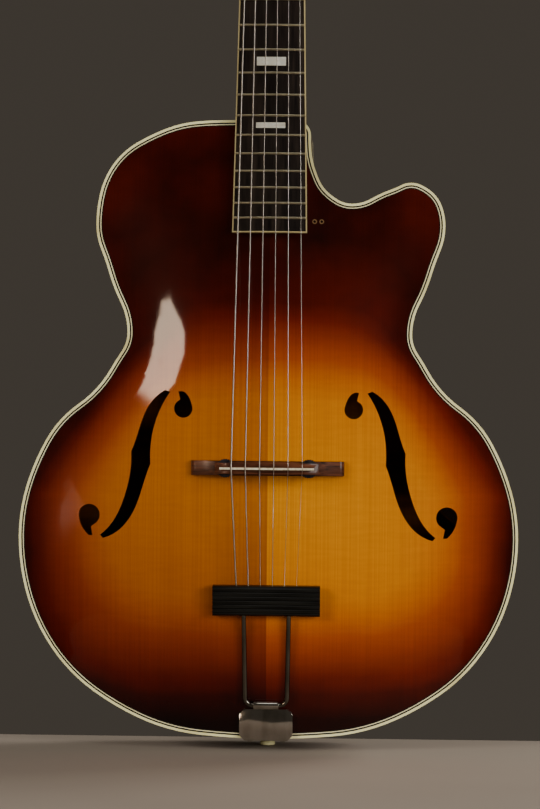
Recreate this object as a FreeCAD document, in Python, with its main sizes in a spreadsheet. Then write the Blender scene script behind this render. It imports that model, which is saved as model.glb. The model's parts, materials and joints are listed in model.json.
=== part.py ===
import FreeCAD, Part
import Sketcher
import math
import os

# Archtop guitar: a carved, hollow, cutaway body with a floating bridge, a hinged trapeze
# tailpiece, a set neck and six geared tuners. The neck points up (+Z), the strings face
# the front (-Y) and the treble side is on the right (+X). The origin is the centre of the
# end pin's outer face.

V = FreeCAD.Vector

# Driving lengths in millimetres. Each is written once, here, and kept in the sheet.
LENGTHS = {
    # sound box
    "body_length": 511.0,
    "lower_bout_width": 412.8,
    "body_depth": 86.0,
    "cutaway_corner": 12.0,
    "rim_thickness": 2.6,
    "binding_width": 2.2,
    "binding_height": 6.5,
    "purfling_outer_width": 0.9,
    "purfling_white_width": 1.1,
    "purfling_inner_width": 0.7,
    "purfling_depth": 2.0,
    "top_thickness": 4.2,
    "back_thickness": 4.0,
    "top_arch": 17.0,
    "back_arch": 15.0,
    "arch_reach": 62.0,
    "lining_width": 6.0,
    "lining_height": 13.0,
    "neck_block_width": 58.0,
    "neck_block_length": 45.0,
    "tail_block_width": 72.0,
    "tail_block_length": 24.0,
    "tone_bar_width": 7.0,
    "tone_bar_height": 12.0,
    "tone_bar_length": 316.0,
    "tone_bar_start": 92.0,
    "tone_bar_low_spacing": 84.0,
    "tone_bar_top_spacing": 58.0,
    "f_hole_length": 120.5,
    "f_hole_tip_spacing": 162.6,
    "f_hole_tip_height": 285.9,
    "guard_hole_diameter": 1.8,
    "guard_hole_spacing": 5.8,
    "guard_hole_offset": 39.4,
    "guard_hole_height": 427.4,
    "overrun": 8.0,
    "glue_gap": 0.05,
    # end pin and tailpiece
    "pin_head_length": 8.0,
    "pin_head_diameter": 12.4,
    "pin_head_band": 3.0,
    "pin_waist_diameter": 9.0,
    "pin_flange_diameter": 11.0,
    "pin_flange_thickness": 1.2,
    "pin_edge": 0.8,
    "pin_shank_diameter": 8.0,
    "pin_shank_length": 20.0,
    "bracket_sheet": 1.4,
    "bracket_width": 44.0,
    "bracket_lift": 3.2,
    "bracket_below_pin": 10.0,
    "bracket_corner": 4.5,
    "bracket_screw_spacing": 27.2,
    "bracket_screw_depth": 9.5,
    "bracket_screw_head": 6.4,
    "bracket_screw_head_height": 2.2,
    "bracket_screw_shank": 3.2,
    "bracket_screw_length": 16.0,
    "bracket_screw_slot": 0.9,
    "bracket_screw_edge": 0.7,
    "knuckle_width": 20.6,
    "knuckle_height": 28.3,
    "hinge_clearance": 0.1,
    "tail_rod_diameter": 4.0,
    "tail_rod_bend": 6.5,
    "tail_rod_low_spacing": 34.4,
    "tail_rod_top_spacing": 37.3,
    "tail_rod_seat": 11.0,
    "tail_bar_width": 88.0,
    "tail_bar_height": 25.0,
    "tail_bar_thickness": 7.0,
    "tail_bar_distance": 75.9,
    "tail_bar_groove": 0.7,
    "tail_bar_edge": 2.0,
    "tail_string_spread": 49.4,
    "ball_diameter": 3.8,
    "ball_length": 3.4,
    "ball_clearance": 0.25,
    "ball_recess": 0.8,
    "string_hole_clearance": 0.35,
    # neck and fretboard
    "scale_length": 647.7,
    "saddle_compensation": 2.0,
    "joint_fret_rise": 2.4,
    "board_height": 18.0,
    "board_length": 455.7,
    "board_thickness": 6.0,
    "board_radius": 305.0,
    "board_width_at_nut": 44.5,
    "board_width_at_end": 61.4,
    "board_binding": 1.0,
    "fret_width": 1.9,
    "fret_height": 1.1,
    "fret_crown": 0.7,
    "marker_width": 24.0,
    "marker_depth": 1.2,
    "nut_thickness": 5.0,
    "neck_depth_at_nut": 15.0,
    "neck_depth_at_heel": 18.0,
    "heel_width": 50.0,
    "heel_length": 62.0,
    "heel_cap_width": 30.0,
    "heel_cap_length": 27.0,
    "heel_cap_thickness": 2.4,
    "extension_width": 42.0,
    "extension_heel_thickness": 8.0,
    "extension_end_thickness": 3.0,
    "extension_end_gap": 6.0,
    "tenon_width": 26.0,
    "tenon_length": 20.0,
    "tenon_top_drop": 12.0,
    "tenon_back_drop": 22.0,
    "truss_rod_diameter": 5.0,
    "truss_rod_drop": 5.0,
    "truss_rod_length": 322.0,
    "truss_channel_width": 6.0,
    "truss_nut_width": 6.0,
    "truss_nut_length": 9.0,
    "truss_nut_reach": 17.0,
    "truss_pocket_width": 9.0,
    "truss_pocket_gap": 1.0,
    "truss_cover_width": 24.0,
    "truss_cover_length": 32.0,
    "truss_cover_foot_width": 15.0,
    "truss_cover_thickness": 1.6,
    "truss_cover_gap": 3.0,
    # headstock and tuners
    "head_length": 176.0,
    "head_width": 78.0,
    "head_thickness": 14.0,
    "veneer_thickness": 1.5,
    "post_row_spacing": 52.0,
    "post_pitch": 42.0,
    "first_post_height": 48.0,
    "post_diameter": 6.0,
    "post_waist_diameter": 5.2,
    "post_waist_step": 0.6,
    "post_waist_length": 9.0,
    "post_cap_length": 5.5,
    "post_cap_edge": 0.7,
    "post_hole_diameter": 1.8,
    "post_clearance": 0.08,
    "bushing_diameter": 8.4,
    "bushing_length": 9.0,
    "bushing_flange_diameter": 11.0,
    "bushing_flange_thickness": 1.4,
    "tuner_plate_width": 15.0,
    "tuner_plate_length": 122.0,
    "tuner_plate_thickness": 1.2,
    "tuner_plate_hole_clearance": 0.3,
    "gear_pitch_radius": 4.2,
    "gear_addendum": 0.5,
    "gear_dedendum": 0.7,
    "gear_tooth_thickness": 0.6,
    "gear_tooth_draft": 0.1,
    "gear_face": 2.6,
    "gear_bore": 3.6,
    "worm_pitch_radius": 2.4,
    "worm_plate_gap": 0.3,
    "worm_shaft_diameter": 3.0,
    "worm_thread_root": 0.15,
    "ear_gap": 0.3,
    "ear_thickness": 1.6,
    "ear_width": 6.2,
    "ear_roof": 1.6,
    "worm_tail": 0.6,
    "button_gap": 4.0,
    "button_length": 17.0,
    "button_width": 14.0,
    "button_thickness": 6.6,
    "button_edge": 2.4,
    "button_collar": 3.0,
    "button_collar_diameter": 5.6,
    "gear_screw_diameter": 1.8,
    "gear_screw_head": 5.0,
    "gear_screw_head_height": 1.2,
    "gear_screw_slot": 0.8,
    "gear_screw_length": 2.2,
    # small round-head screws
    "small_screw_head": 4.4,
    "small_screw_head_height": 1.2,
    "small_screw_shank": 2.2,
    "small_screw_length": 8.0,
    "small_screw_slot": 0.7,
    "small_screw_edge": 0.4,
    "plate_screw_margin": 5.0,
    # bridge
    "bridge_length": 126.0,
    "bridge_depth": 12.0,
    "bridge_height": 9.5,
    "bridge_end_height": 5.5,
    "bridge_step_length": 13.0,
    "bridge_step_height": 1.2,
    "bridge_post_spacing": 68.4,
    "bridge_post_diameter": 4.0,
    "bridge_post_sink": 6.0,
    "bridge_post_reach": 8.8,
    "wheel_diameter": 15.5,
    "wheel_thickness": 3.2,
    "wheel_seat_gap": 2.3,
    "wheel_edge": 0.5,
    "wheel_notch": 0.8,
    "wheel_clearance": 0.05,
    "saddle_length": 85.0,
    "saddle_depth": 9.0,
    "saddle_end_height": 4.0,
    "saddle_end_length": 8.0,
    "saddle_drop": 2.2,
    "saddle_clearance": 0.3,
    "saddle_travel_down": 2.0,
    "saddle_wheel_gap": 0.1,
    "bone_length": 77.0,
    "bone_width": 1.6,
    "bone_sink": 1.2,
    # strings
    "nut_string_spread": 37.0,
    "saddle_string_spread": 58.0,
    "string_rise_at_nut": 1.5,
    "string_rise_at_saddle": 5.2,
    "string_bend": 1.5,
    "string_groove_clearance": 0.2,
    "bone_groove_clearance": 0.27,
    "string_1_diameter": 0.30,
    "string_2_diameter": 0.41,
    "string_3_diameter": 0.61,
    "string_4_diameter": 0.81,
    "string_5_diameter": 1.07,
    "string_6_diameter": 1.32,
    "winding_gap": 0.5,
    "winding_post_gap": 0.15,
    "winding_rise": 1.4,
}

# Angles in degrees.
ANGLES = {
    "neck_angle": 4.0,
    "head_angle": 14.0,
}

# Shares of a length.
SHARES = {
    "button_neck_share": 0.30,
    "button_crown_share": 0.72,
    "button_flat_share": 0.30,
}

# Counts.
COUNTS = {
    "fret_count": 20,
    "joint_fret": 14,
    "gear_teeth": 14,
    "worm_turns": 4,
    "winding_turns": 3,
    "winding_samples": 25,
    "bar_grooves": 6,
    "wheel_notches": 24,
    "arch_columns": 25,
    "arch_rows": 31,
    "arch_samples": 320,
}

os.makedirs("parts", exist_ok=True)
doc = FreeCAD.newDocument("archtop_guitar")
sheet = doc.addObject("Spreadsheet::Sheet", "sizes")
for row, (alias, value) in enumerate({**LENGTHS, **ANGLES, **SHARES, **COUNTS}.items(), 1):
    sheet.set("A%d" % row, alias)
    sheet.set("B%d" % row, str(value))
    sheet.setAlias("B%d" % row, alias)
doc.recompute()


class Sizes:
    """Reads a size from the sheet by its alias."""

    def __getattr__(self, alias):
        return sheet.get(alias)


s = Sizes()
nodes = {}


# Shared helpers for document objects

def keep(obj, label, placement=None):
    """Names an object as a finished sub-part and puts it in its place."""
    obj.Label = label
    if placement is not None:
        obj.Placement = placement
    nodes[label] = obj
    return obj


def feature(label, shape, placement=None):
    """A sub-part whose shape comes from Part's own functions."""
    obj = doc.addObject("Part::Feature", label)
    obj.Shape = shape
    if placement is not None:
        placement = placement.multiply(shape.Placement)
    return keep(obj, label, placement)


def helper(name, shape):
    """A shape that another object is built from, and that isn't a sub-part itself."""
    obj = doc.addObject("Part::Feature", name)
    obj.Shape = shape
    return obj


def primitive(kind, name, placement=None, **sizes):
    """A Part primitive whose sizes are bound to the sheet."""
    obj = doc.addObject("Part::" + kind, name)
    for prop, expression in sizes.items():
        obj.setExpression(prop, expression)
    if placement is not None:
        obj.Placement = placement
    return obj


def combine(kind, name, base, tool):
    """A boolean of two document objects."""
    obj = doc.addObject("Part::" + kind, name)
    obj.Base = base
    obj.Tool = tool
    doc.recompute()
    return obj


def number(expression):
    return float(sheet.evalExpression(expression))


def origin_plane(body, role):
    return next(part for part in body.Origin.OriginFeatures if part.Role == role)


def loop_sketch(body, name, role, corners):
    """A closed loop of lines whose corners are pairs of expressions in the sheet's sizes."""
    sketch = body.newObject("Sketcher::SketchObject", name)
    sketch.AttachmentSupport = [(origin_plane(body, role), "")]
    sketch.MapMode = "FlatFace"
    places = [V(number(across), number(up), 0) for across, up in corners]
    for index, place in enumerate(places):
        follower = places[(index + 1) % len(places)]
        sketch.addGeometry(Part.LineSegment(place, follower), False)
    for index, place in enumerate(places):
        sketch.addConstraint(Sketcher.Constraint("Coincident", index, 2, (index + 1) % len(places), 1))
    for index, (across, up) in enumerate(corners):
        rows = (("DistanceX", across, places[index].x, -2), ("DistanceY", up, places[index].y, -1))
        for kind, expression, value, axis in rows:
            if expression == "0":
                sketch.addConstraint(Sketcher.Constraint("PointOnObject", index, 1, axis))
                continue
            row = sketch.addConstraint(Sketcher.Constraint(kind, -1, 1, index, 1, value))
            sketch.setExpression("Constraints[%d]" % row, expression)
    return sketch


def turned(name, corners):
    """A body of revolution about its own Z axis."""
    body = doc.addObject("PartDesign::Body", name)
    sketch = loop_sketch(body, name + "_profile", "XZ_Plane", corners)
    turn = body.newObject("PartDesign::Revolution", name + "_turn")
    turn.Profile = sketch
    turn.ReferenceAxis = (sketch, ["V_Axis"])
    doc.recompute()
    return body


def padded(name, role, corners, length):
    """A body padded evenly to both sides of its sketch plane."""
    body = doc.addObject("PartDesign::Body", name)
    sketch = loop_sketch(body, name + "_profile", role, corners)
    pad = body.newObject("PartDesign::Pad", name + "_pad")
    pad.Profile = sketch
    pad.Midplane = True
    pad.setExpression("Length", length)
    doc.recompute()
    return body


def copies(shape, placements):
    """Separate copies of one solid, each in its own place."""
    solids = []
    for placement in placements:
        solid = shape.copy()
        solid.Placement = placement.multiply(shape.Placement)
        solids.append(solid)
    return Part.makeCompound(solids)


def block(x_low, x_high, y_low, y_high, z_low, z_high):
    """A box between two corners."""
    return Part.makeBox(x_high - x_low, y_high - y_low, z_high - z_low, V(x_low, y_low, z_low))


# Curves of tangent arcs

straight_share = 1e-6


def arc_edge(start, tangent, end):
    """The arc that leaves start along tangent and arrives at end, or a line if it is straight."""
    chord = end - start
    along = V(chord).normalize()
    side = tangent - along * tangent.dot(along)
    if side.Length < straight_share:
        return Part.LineSegment(start, end).toShape()
    bend = math.atan2(side.Length, tangent.dot(along))
    middle = (start + end) * 0.5 + side.normalize() * (chord.Length / 2 * math.tan(bend / 2))
    return Part.Arc(start, middle, end).toShape()


def arc_end_tangent(start, tangent, end):
    along = (end - start).normalize()
    return along * (2 * tangent.dot(along)) - tangent


def biarc(start, start_tangent, end, end_tangent):
    """The two arcs from start to end with the given tangents, as (point, tangent, point, tangent)."""
    chord = end - start
    both = start_tangent + end_tangent
    spread = 1 - start_tangent.dot(end_tangent)
    lean = chord.dot(both)
    if spread < straight_share:
        reach = chord.dot(chord) / (2 * lean)
    else:
        reach = (math.sqrt(lean * lean + 2 * spread * chord.dot(chord)) - lean) / (2 * spread)
    joint = (start + start_tangent * reach + end - end_tangent * reach) * 0.5
    joint_tangent = arc_end_tangent(start, start_tangent, joint)
    return [(start, start_tangent, joint, joint_tangent), (joint, joint_tangent, end, end_tangent)]


def through_tangent(before, point, after):
    """The tangent at point of the circle through three points."""
    arrive = point - before
    leave = after - point
    return (arrive * (1 / arrive.dot(arrive)) + leave * (1 / leave.dot(leave))).normalize()


def arc_chain(stations):
    """A closed chain of arcs through (point, heading) stations in an XZ plane."""
    points = [point for point, heading in stations]
    tangents = []
    for index, (point, heading) in enumerate(stations):
        if heading is None:
            follower = points[(index + 1) % len(points)]
            tangents.append(through_tangent(points[index - 1], point, follower))
        else:
            turn = math.radians(heading)
            tangents.append(V(math.cos(turn), 0, math.sin(turn)))
    chain = []
    for index, point in enumerate(points):
        after = (index + 1) % len(points)
        chain += biarc(point, tangents[index], points[after], tangents[after])
    return chain


def inset_wire(chain, inset, y):
    """The chain moved inwards by inset, at depth y."""
    edges = []
    for start, start_tangent, end, end_tangent in chain:
        first = start + V(-start_tangent.z, 0, start_tangent.x) * inset + V(0, y, 0)
        last = end + V(-end_tangent.z, 0, end_tangent.x) * inset + V(0, y, 0)
        edges.append(arc_edge(first, start_tangent, last))
    return Part.Wire(edges)


def plate_of(chain, inset, y_low, y_high):
    """A flat plate with the chain's outline."""
    return Part.Face(inset_wire(chain, inset, y_low)).extrude(V(0, y_high - y_low, 0))


def ring_of(chain, outer, inner, y_low, y_high):
    """A strip that runs round the outline between two insets."""
    wires = [inset_wire(chain, outer, y_low), inset_wire(chain, inner, y_low)]
    return Part.makeFace(wires, "Part::FaceMakerBullseye").extrude(V(0, y_high - y_low, 0))


# Body outline

half_width = s.lower_bout_width / 2
front = -s.body_depth / 2
back = s.body_depth / 2
body_end = s.pin_head_length + s.bracket_sheet
top_edge = body_end + s.body_length

# Shares of the half width and of the body length, with a heading where the edge is level or upright.
side_shares = [
    (0.520, 0.033, None), (0.840, 0.130, None), (1.000, 0.325, 90), (0.894, 0.480, None),
    (0.635, 0.597, None), (0.570, 0.655, 90), (0.646, 0.752, None), (0.699, 0.830, 90),
]
horn_shares = [
    (0.635, 0.889, None), (0.5615, 0.9005, 180), (0.479, 0.889, None), (0.325, 0.866, 180),
    (0.224, 0.886, None), (0.1735, 0.925, None),
]
cutaway_wall_share = 0.158
shoulder_shares = [(-0.1526, 1.000, 180), (-0.421, 0.9857, None), (-0.634, 0.927, None)]


def on_body(x_share, z_share):
    return V(x_share * half_width, 0, body_end + z_share * s.body_length)


wall_top = V(cutaway_wall_share * half_width, 0, top_edge - s.cutaway_corner)
stations = [(on_body(0, 0), 0)]
stations += [(on_body(x, z), heading) for x, z, heading in side_shares + horn_shares]
stations += [(wall_top, 90), (wall_top + V(-s.cutaway_corner, 0, s.cutaway_corner), 180)]
stations += [(on_body(x, z), heading) for x, z, heading in shoulder_shares]
for x, z, heading in reversed(side_shares):
    stations.append((on_body(-x, z), None if heading is None else heading + 180))
outline = arc_chain(stations)

# Arched surfaces: low and flat at the edge, swelling to the full arch inside.
# A point's depth inside the edge is a smooth mean over the whole outline.

edge_points = inset_wire(outline, 0, 0).discretize(Number=s.arch_samples)
edge_step = inset_wire(outline, 0, 0).Length / s.arch_samples
grid_low = V(-half_width - s.overrun, 0, body_end - s.overrun)
grid_span = V(2 * (half_width + s.overrun), 0, s.body_length + 2 * s.overrun)


def arch_swell(x, z):
    """The share of the full arch at a place, from its smooth depth inside the edge."""
    total = 0.0
    for point in edge_points:
        total += edge_step / ((point.x - x) ** 2 + (point.z - z) ** 2) ** 1.5
    depth = (total / 2) ** -0.5
    return 1 - math.exp(-(depth / s.arch_reach) ** 2)


arch_grid = []
for column in range(int(s.arch_columns)):
    x = grid_low.x + grid_span.x * column / (s.arch_columns - 1)
    line = []
    for row in range(int(s.arch_rows)):
        z = grid_low.z + grid_span.z * row / (s.arch_rows - 1)
        line.append((x, z, arch_swell(x, z)))
    arch_grid.append(line)


def arch_face(level, height):
    """The arched surface that leaves the flat level by height (to -Y where height is negative)."""
    surface = Part.BSplineSurface()
    surface.interpolate([[V(x, level + height * swell, z) for x, z, swell in line] for line in arch_grid])
    return surface.toShape()


depth_way = V(0, s.body_depth, 0)
top_outside = arch_face(front, -s.top_arch)
top_inside = arch_face(front + s.top_thickness, -s.top_arch)
back_inside = arch_face(back - s.back_thickness, s.back_arch)
top_shell = top_outside.extrude(V(0, s.top_thickness, 0))
back_shell = back_inside.extrude(V(0, s.back_thickness, 0))
below_top = top_inside.extrude(depth_way)
above_back = back_inside.extrude(depth_way * -1)
box_low = front - s.top_arch - s.overrun
box_high = back + s.back_arch + s.overrun

# F-holes: a long slot with a notch on each side and a comma at each end.
# Shares of the f-hole's length, outwards and down from the slot's upper tip.

slot_spans_shares = [
    [(0.000, 0.000), (0.081, 0.153), (0.125, 0.327), (0.131, 0.414), (0.129, 0.493)],
    [(0.129, 0.493), (0.168, 0.606), (0.225, 0.781), (0.321, 0.929), (0.452, 1.003)],
    [(0.452, 1.003), (0.472, 0.982)],
    [(0.472, 0.982), (0.382, 0.886), (0.304, 0.711), (0.264, 0.510), (0.264, 0.410)],
    [(0.264, 0.410), (0.225, 0.301), (0.173, 0.144), (0.086, 0.022), (0.033, -0.013)],
    [(0.033, -0.013), (0.000, 0.000)],
]
upper_comma_arc_shares = [(-0.045, 0.070), (-0.089, 0.176), (-0.153, 0.092)]
upper_comma_spans_shares = [
    [(-0.153, 0.092), (-0.133, 0.039), (-0.098, 0.000), (-0.058, -0.003)],
    [(-0.058, -0.003), (-0.070, 0.052)],
    [(-0.070, 0.052), (-0.045, 0.070)],
]
lower_comma_arc_shares = [(0.500, 0.900), (0.544, 0.772), (0.618, 0.868)]
lower_comma_spans_shares = [
    [(0.618, 0.868), (0.592, 0.938), (0.550, 0.986)],
    [(0.550, 0.986), (0.524, 0.986)],
    [(0.524, 0.986), (0.535, 0.925)],
    [(0.535, 0.925), (0.500, 0.900)],
]


def f_cutter(side, arc_shares, spans_shares):
    """One f-hole opening on the treble (+1) or bass (-1) side, as a prism through the top."""
    def place(point):
        out = s.f_hole_tip_spacing / 2 + point[0] * s.f_hole_length
        up = body_end + s.f_hole_tip_height - point[1] * s.f_hole_length
        return V(side * out, box_low, up)

    edges = []
    if arc_shares:
        edges.append(Part.Arc(*[place(point) for point in arc_shares]).toShape())
    for span in spans_shares:
        points = [place(point) for point in span]
        if len(points) == 2:
            edges.append(Part.LineSegment(*points).toShape())
        else:
            curve = Part.BSplineCurve()
            curve.interpolate(points)
            edges.append(curve.toShape())
    return Part.Face(Part.Wire(edges)).extrude(depth_way)


f_cutters = []
for side in (-1, 1):
    f_cutters.append(f_cutter(side, [], slot_spans_shares))
    f_cutters.append(f_cutter(side, upper_comma_arc_shares, upper_comma_spans_shares))
    f_cutters.append(f_cutter(side, lower_comma_arc_shares, lower_comma_spans_shares))

# Two empty screw holes beside the end of the board, where a finger rest was once fixed
guard_holes = []
for side in (-1, 1):
    spot = V(s.guard_hole_offset + side * s.guard_hole_spacing / 2, box_low, body_end + s.guard_hole_height)
    guard_holes.append(Part.makeCylinder(s.guard_hole_diameter / 2, s.body_depth, spot, V(0, 1, 0)))

# Carved plates, bindings and purfling

purfling_outer = s.binding_width + s.purfling_outer_width
purfling_white = purfling_outer + s.purfling_white_width
purfling_inner = purfling_white + s.purfling_inner_width
purfling_floor = front + s.purfling_depth

top_blank = top_shell.common(plate_of(outline, s.binding_width, box_low, purfling_floor + s.top_arch))
purfling_rebate = ring_of(outline, s.binding_width - s.overrun, purfling_inner, box_low, purfling_floor)
feature("top_plate", top_blank.cut([purfling_rebate] + f_cutters + guard_holes))
feature("back_plate", back_shell.common(plate_of(outline, s.binding_width, front, box_high)))
feature("top_binding", ring_of(outline, 0, s.binding_width, front, front + s.binding_height))
feature("back_binding", ring_of(outline, 0, s.binding_width, back - s.binding_height, back))
feature("top_purfling_white", ring_of(outline, purfling_outer, purfling_white, front, purfling_floor))
feature("top_purfling_black", Part.makeCompound([
    ring_of(outline, s.binding_width, purfling_outer, front, purfling_floor),
    ring_of(outline, purfling_white, purfling_inner, front, purfling_floor),
]))

# Rims, linings and blocks

tenon = block(-s.tenon_width / 2, s.tenon_width / 2, front + s.tenon_top_drop, back - s.tenon_back_drop,
              top_edge - s.tenon_length, top_edge)
gap = s.glue_gap
mortise = block(-s.tenon_width / 2 - gap, s.tenon_width / 2 + gap,
                front + s.tenon_top_drop - gap, back - s.tenon_back_drop + gap,
                top_edge - s.tenon_length - gap, top_edge + s.overrun)
pin_hole = Part.makeCylinder(s.pin_shank_diameter / 2, s.pin_shank_length + s.bracket_sheet + s.overrun,
                             V(0, 0, body_end - s.bracket_sheet))
rim_band = ring_of(outline, 0, s.rim_thickness, front + s.binding_height, back - s.binding_height)
reach = s.lower_bout_width
for label, x_low, x_high in (("bass_rim", -reach, 0), ("treble_rim", 0, reach)):
    half = block(x_low, x_high, front, back, 0, top_edge + s.overrun)
    feature(label, rim_band.common(half).cut([mortise, pin_hole]))

neck_block_box = block(-s.neck_block_width / 2, s.neck_block_width / 2, box_low, box_high,
                       top_edge - s.neck_block_length, top_edge)
tail_block_box = block(-s.tail_block_width / 2, s.tail_block_width / 2, box_low, box_high,
                       body_end, body_end + s.tail_block_length)
lining_inset = s.rim_thickness + s.lining_width
lining_front = front + s.top_thickness
lining_back = back - s.back_thickness
linings = [
    ring_of(outline, s.rim_thickness, lining_inset, lining_front, lining_front + s.lining_height),
    ring_of(outline, s.rim_thickness, lining_inset, lining_back - s.lining_height, lining_back),
]
feature("kerfed_linings", Part.makeCompound(
    [solid for ring in linings for solid in ring.cut([neck_block_box, tail_block_box]).Solids]))

inside = plate_of(outline, s.rim_thickness, box_low, box_high).common(below_top).common(above_back)
feature("neck_block", inside.common(neck_block_box).cut(mortise))
feature("tail_block", inside.common(tail_block_box).cut(pin_hole))

# Tone bars: two spruce braces glued under the top, nearer together at the neck end.

bar_shell = top_inside.extrude(V(0, s.tone_bar_height, 0))
tone_bars = []
for side in (-1, 1):
    low = V(side * s.tone_bar_low_spacing / 2, box_low, body_end + s.tone_bar_start)
    high = V(side * s.tone_bar_top_spacing / 2, box_low, low.z + s.tone_bar_length)
    across = V(s.tone_bar_width / 2, 0, 0)
    strip = Part.makePolygon([low - across, low + across, high + across, high - across, low - across])
    tone_bars.append(bar_shell.common(Part.Face(strip).extrude(depth_way)).Solids[0])
feature("tone_bars", Part.makeCompound(tone_bars))

# Neck frame: its origin is the nut line on the board's surface, Z runs up the neck, Y to its back.

lean = math.radians(s.neck_angle)
neck_way = V(0, math.sin(lean), math.cos(lean))
neck_turn = FreeCAD.Rotation(V(1, 0, 0), -s.neck_angle)


def fret_distance(count):
    return s.scale_length * (1 - 2 ** (-count / 12))


joint_point = V(0, front - s.board_height, top_edge + s.joint_fret_rise)
neck_place = FreeCAD.Placement(joint_point + neck_way * fret_distance(s.joint_fret), neck_turn)
head_place = neck_place.multiply(FreeCAD.Placement(
    V(0, s.board_thickness, s.nut_thickness), FreeCAD.Rotation(V(1, 0, 0), -s.head_angle)))


def placed(shape, placement):
    """A copy of a shape that is drawn in its own frame, put in its place."""
    moved = shape.copy()
    moved.Placement = placement.multiply(shape.Placement)
    return moved


def board_width(distance):
    taper = (s.board_width_at_end - s.board_width_at_nut) / s.board_length
    return s.board_width_at_nut + taper * distance


def crown_drop(x):
    """How far the board's round surface falls away from its middle."""
    return s.board_radius - math.sqrt(s.board_radius ** 2 - x * x)


def crowned_bar(half, rise, floor, z_low, z_high, floor_round=False):
    """A bar across the neck with a round top, rise above the board, and a flat or round floor."""
    def rim_point(x, height):
        radius = s.board_radius + height
        return V(x, s.board_radius - math.sqrt(radius ** 2 - x * x), z_low)

    top = [rim_point(x, rise) for x in (-half, 0, half)]
    edges = [Part.Arc(*top).toShape()]
    if floor_round:
        base = [rim_point(x, -floor) for x in (half, 0, -half)]
        edges.append(Part.Arc(*base).toShape())
    else:
        base = [V(half, floor, z_low), V(-half, floor, z_low)]
        edges.append(Part.LineSegment(*base).toShape())
    edges.insert(1, Part.LineSegment(top[-1], base[0]).toShape())
    edges.append(Part.LineSegment(base[-1], top[0]).toShape())
    return Part.Face(Part.Wire(edges)).extrude(V(0, 0, z_high - z_low))


# Fretboard, its binding, the frets and the pearl blocks

half_nut = "sizes.board_width_at_nut / 2"
half_end = "sizes.board_width_at_end / 2"
trim = "sizes.board_binding"


def board_blank(name, inset, end):
    """A tapered board blank; inset narrows its sides and end is its lower end."""
    corners = [
        (half_nut + inset, "0"), (half_end + inset, end),
        ("-(%s)" % (half_end + inset), end), ("-(%s)" % (half_nut + inset), "0"),
    ]
    blank = padded(name, "XZ_Plane", corners, "2 * sizes.board_thickness")
    crown = primitive("Cylinder", name + "_crown", Radius="sizes.board_radius",
                      Height="sizes.board_length + 2 * sizes.overrun")
    crown.Placement = FreeCAD.Placement(
        V(0, s.board_radius, -s.board_length - s.overrun), FreeCAD.Rotation())
    return combine("Common", name + "_crowned", blank, crown)


marker_frets_shares = [(3, 0.37), (5, 0.37), (7, 0.37), (9, 0.37), (12, 0.37), (15, 0.28)]
marker_solids = []
marker_pockets = []
for fret, height_share in marker_frets_shares:
    space = fret_distance(fret) - fret_distance(fret - 1)
    middle = -(fret_distance(fret) + fret_distance(fret - 1)) / 2
    low = middle - space * height_share / 2
    high = middle + space * height_share / 2
    half = s.marker_width / 2
    marker_solids.append(crowned_bar(half, 0, s.marker_depth, low, high))
    marker_pockets.append(block(-half, half, -s.overrun, s.marker_depth, low, high))

wood_blank = board_blank("board_wood", " - " + trim, "-(sizes.board_length - sizes.board_binding)")
full_blank = board_blank("board_full", "", "-sizes.board_length")
pockets = helper("marker_pockets", Part.makeCompound(marker_pockets))
keep(combine("Cut", "fretboard", wood_blank, pockets), "fretboard", neck_place)
keep(combine("Cut", "fretboard_binding", full_blank, helper("board_core", wood_blank.Shape)),
     "fretboard_binding", neck_place)
feature("position_markers", Part.makeCompound(marker_solids), neck_place)

fret_solids = []
for count in range(1, int(s.fret_count) + 1):
    distance = fret_distance(count)
    half = board_width(distance) / 2 - s.board_binding
    bar = crowned_bar(half, s.fret_height, 0, -distance - s.fret_width / 2, -distance + s.fret_width / 2, True)
    crown_edges = [edge for edge in bar.Edges
                   if edge.CenterOfMass.y < -s.fret_height / 2 and edge.Length > half]
    fret_solids.append(bar.makeFillet(s.fret_crown, crown_edges))
feature("frets", Part.makeCompound(fret_solids), neck_place)

# Strings: where each one crosses the nut and the saddle, in the neck frame

string_numbers = (1, 2, 3, 4, 5, 6)


def string_share(count):
    """From +0.5 for the first, treble string to -0.5 for the sixth."""
    return 0.5 - (count - 1) / (len(string_numbers) - 1)


def string_radius(count):
    return sheet.get("string_%d_diameter" % count) / 2


def nut_point(count):
    x = s.nut_string_spread * string_share(count)
    return neck_place.multVec(V(x, crown_drop(x) - s.string_rise_at_nut, s.nut_thickness / 2))


def saddle_point(count):
    x = s.saddle_string_spread * string_share(count)
    reach_down = s.scale_length + s.saddle_compensation
    return neck_place.multVec(V(x, crown_drop(x) - s.string_rise_at_saddle, -reach_down))


saddle_middle = (saddle_point(1) + saddle_point(len(string_numbers))) * 0.5
saddle_line = saddle_middle.z
saddle_crown_y = neck_place.multVec(
    V(0, -s.string_rise_at_saddle, -s.scale_length - s.saddle_compensation)).y

# Tailpiece frame: its origin is the hinge axis, and Z points at the strings on the saddle,
# so that their pull runs through the hinge.

knuckle_radius = s.tail_rod_diameter / 2 + s.hinge_clearance + s.bracket_sheet
plate_inner = front - s.bracket_lift
hinge = V(0, plate_inner - knuckle_radius, body_end + s.knuckle_height)
tail_lean = math.atan2(hinge.y - saddle_middle.y, saddle_line - hinge.z)
tail_place = FreeCAD.Placement(hinge, FreeCAD.Rotation(V(1, 0, 0), math.degrees(tail_lean)))
bar_low = s.tail_bar_distance
bar_high = bar_low + s.tail_bar_height


def tail_point(count):
    return tail_place.multVec(V(s.tail_string_spread * string_share(count), 0, bar_high))


def tail_way(count):
    return (saddle_point(count) - tail_point(count)).normalize()


def ball_point(count):
    """The middle of the ball end, sunk in the bar's lower edge."""
    drop = s.tail_bar_height - s.ball_recess - s.ball_length / 2
    return tail_point(count) - tail_way(count) * drop


# Tailpiece: rod, bar and the bracket that carries its hinge

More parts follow.
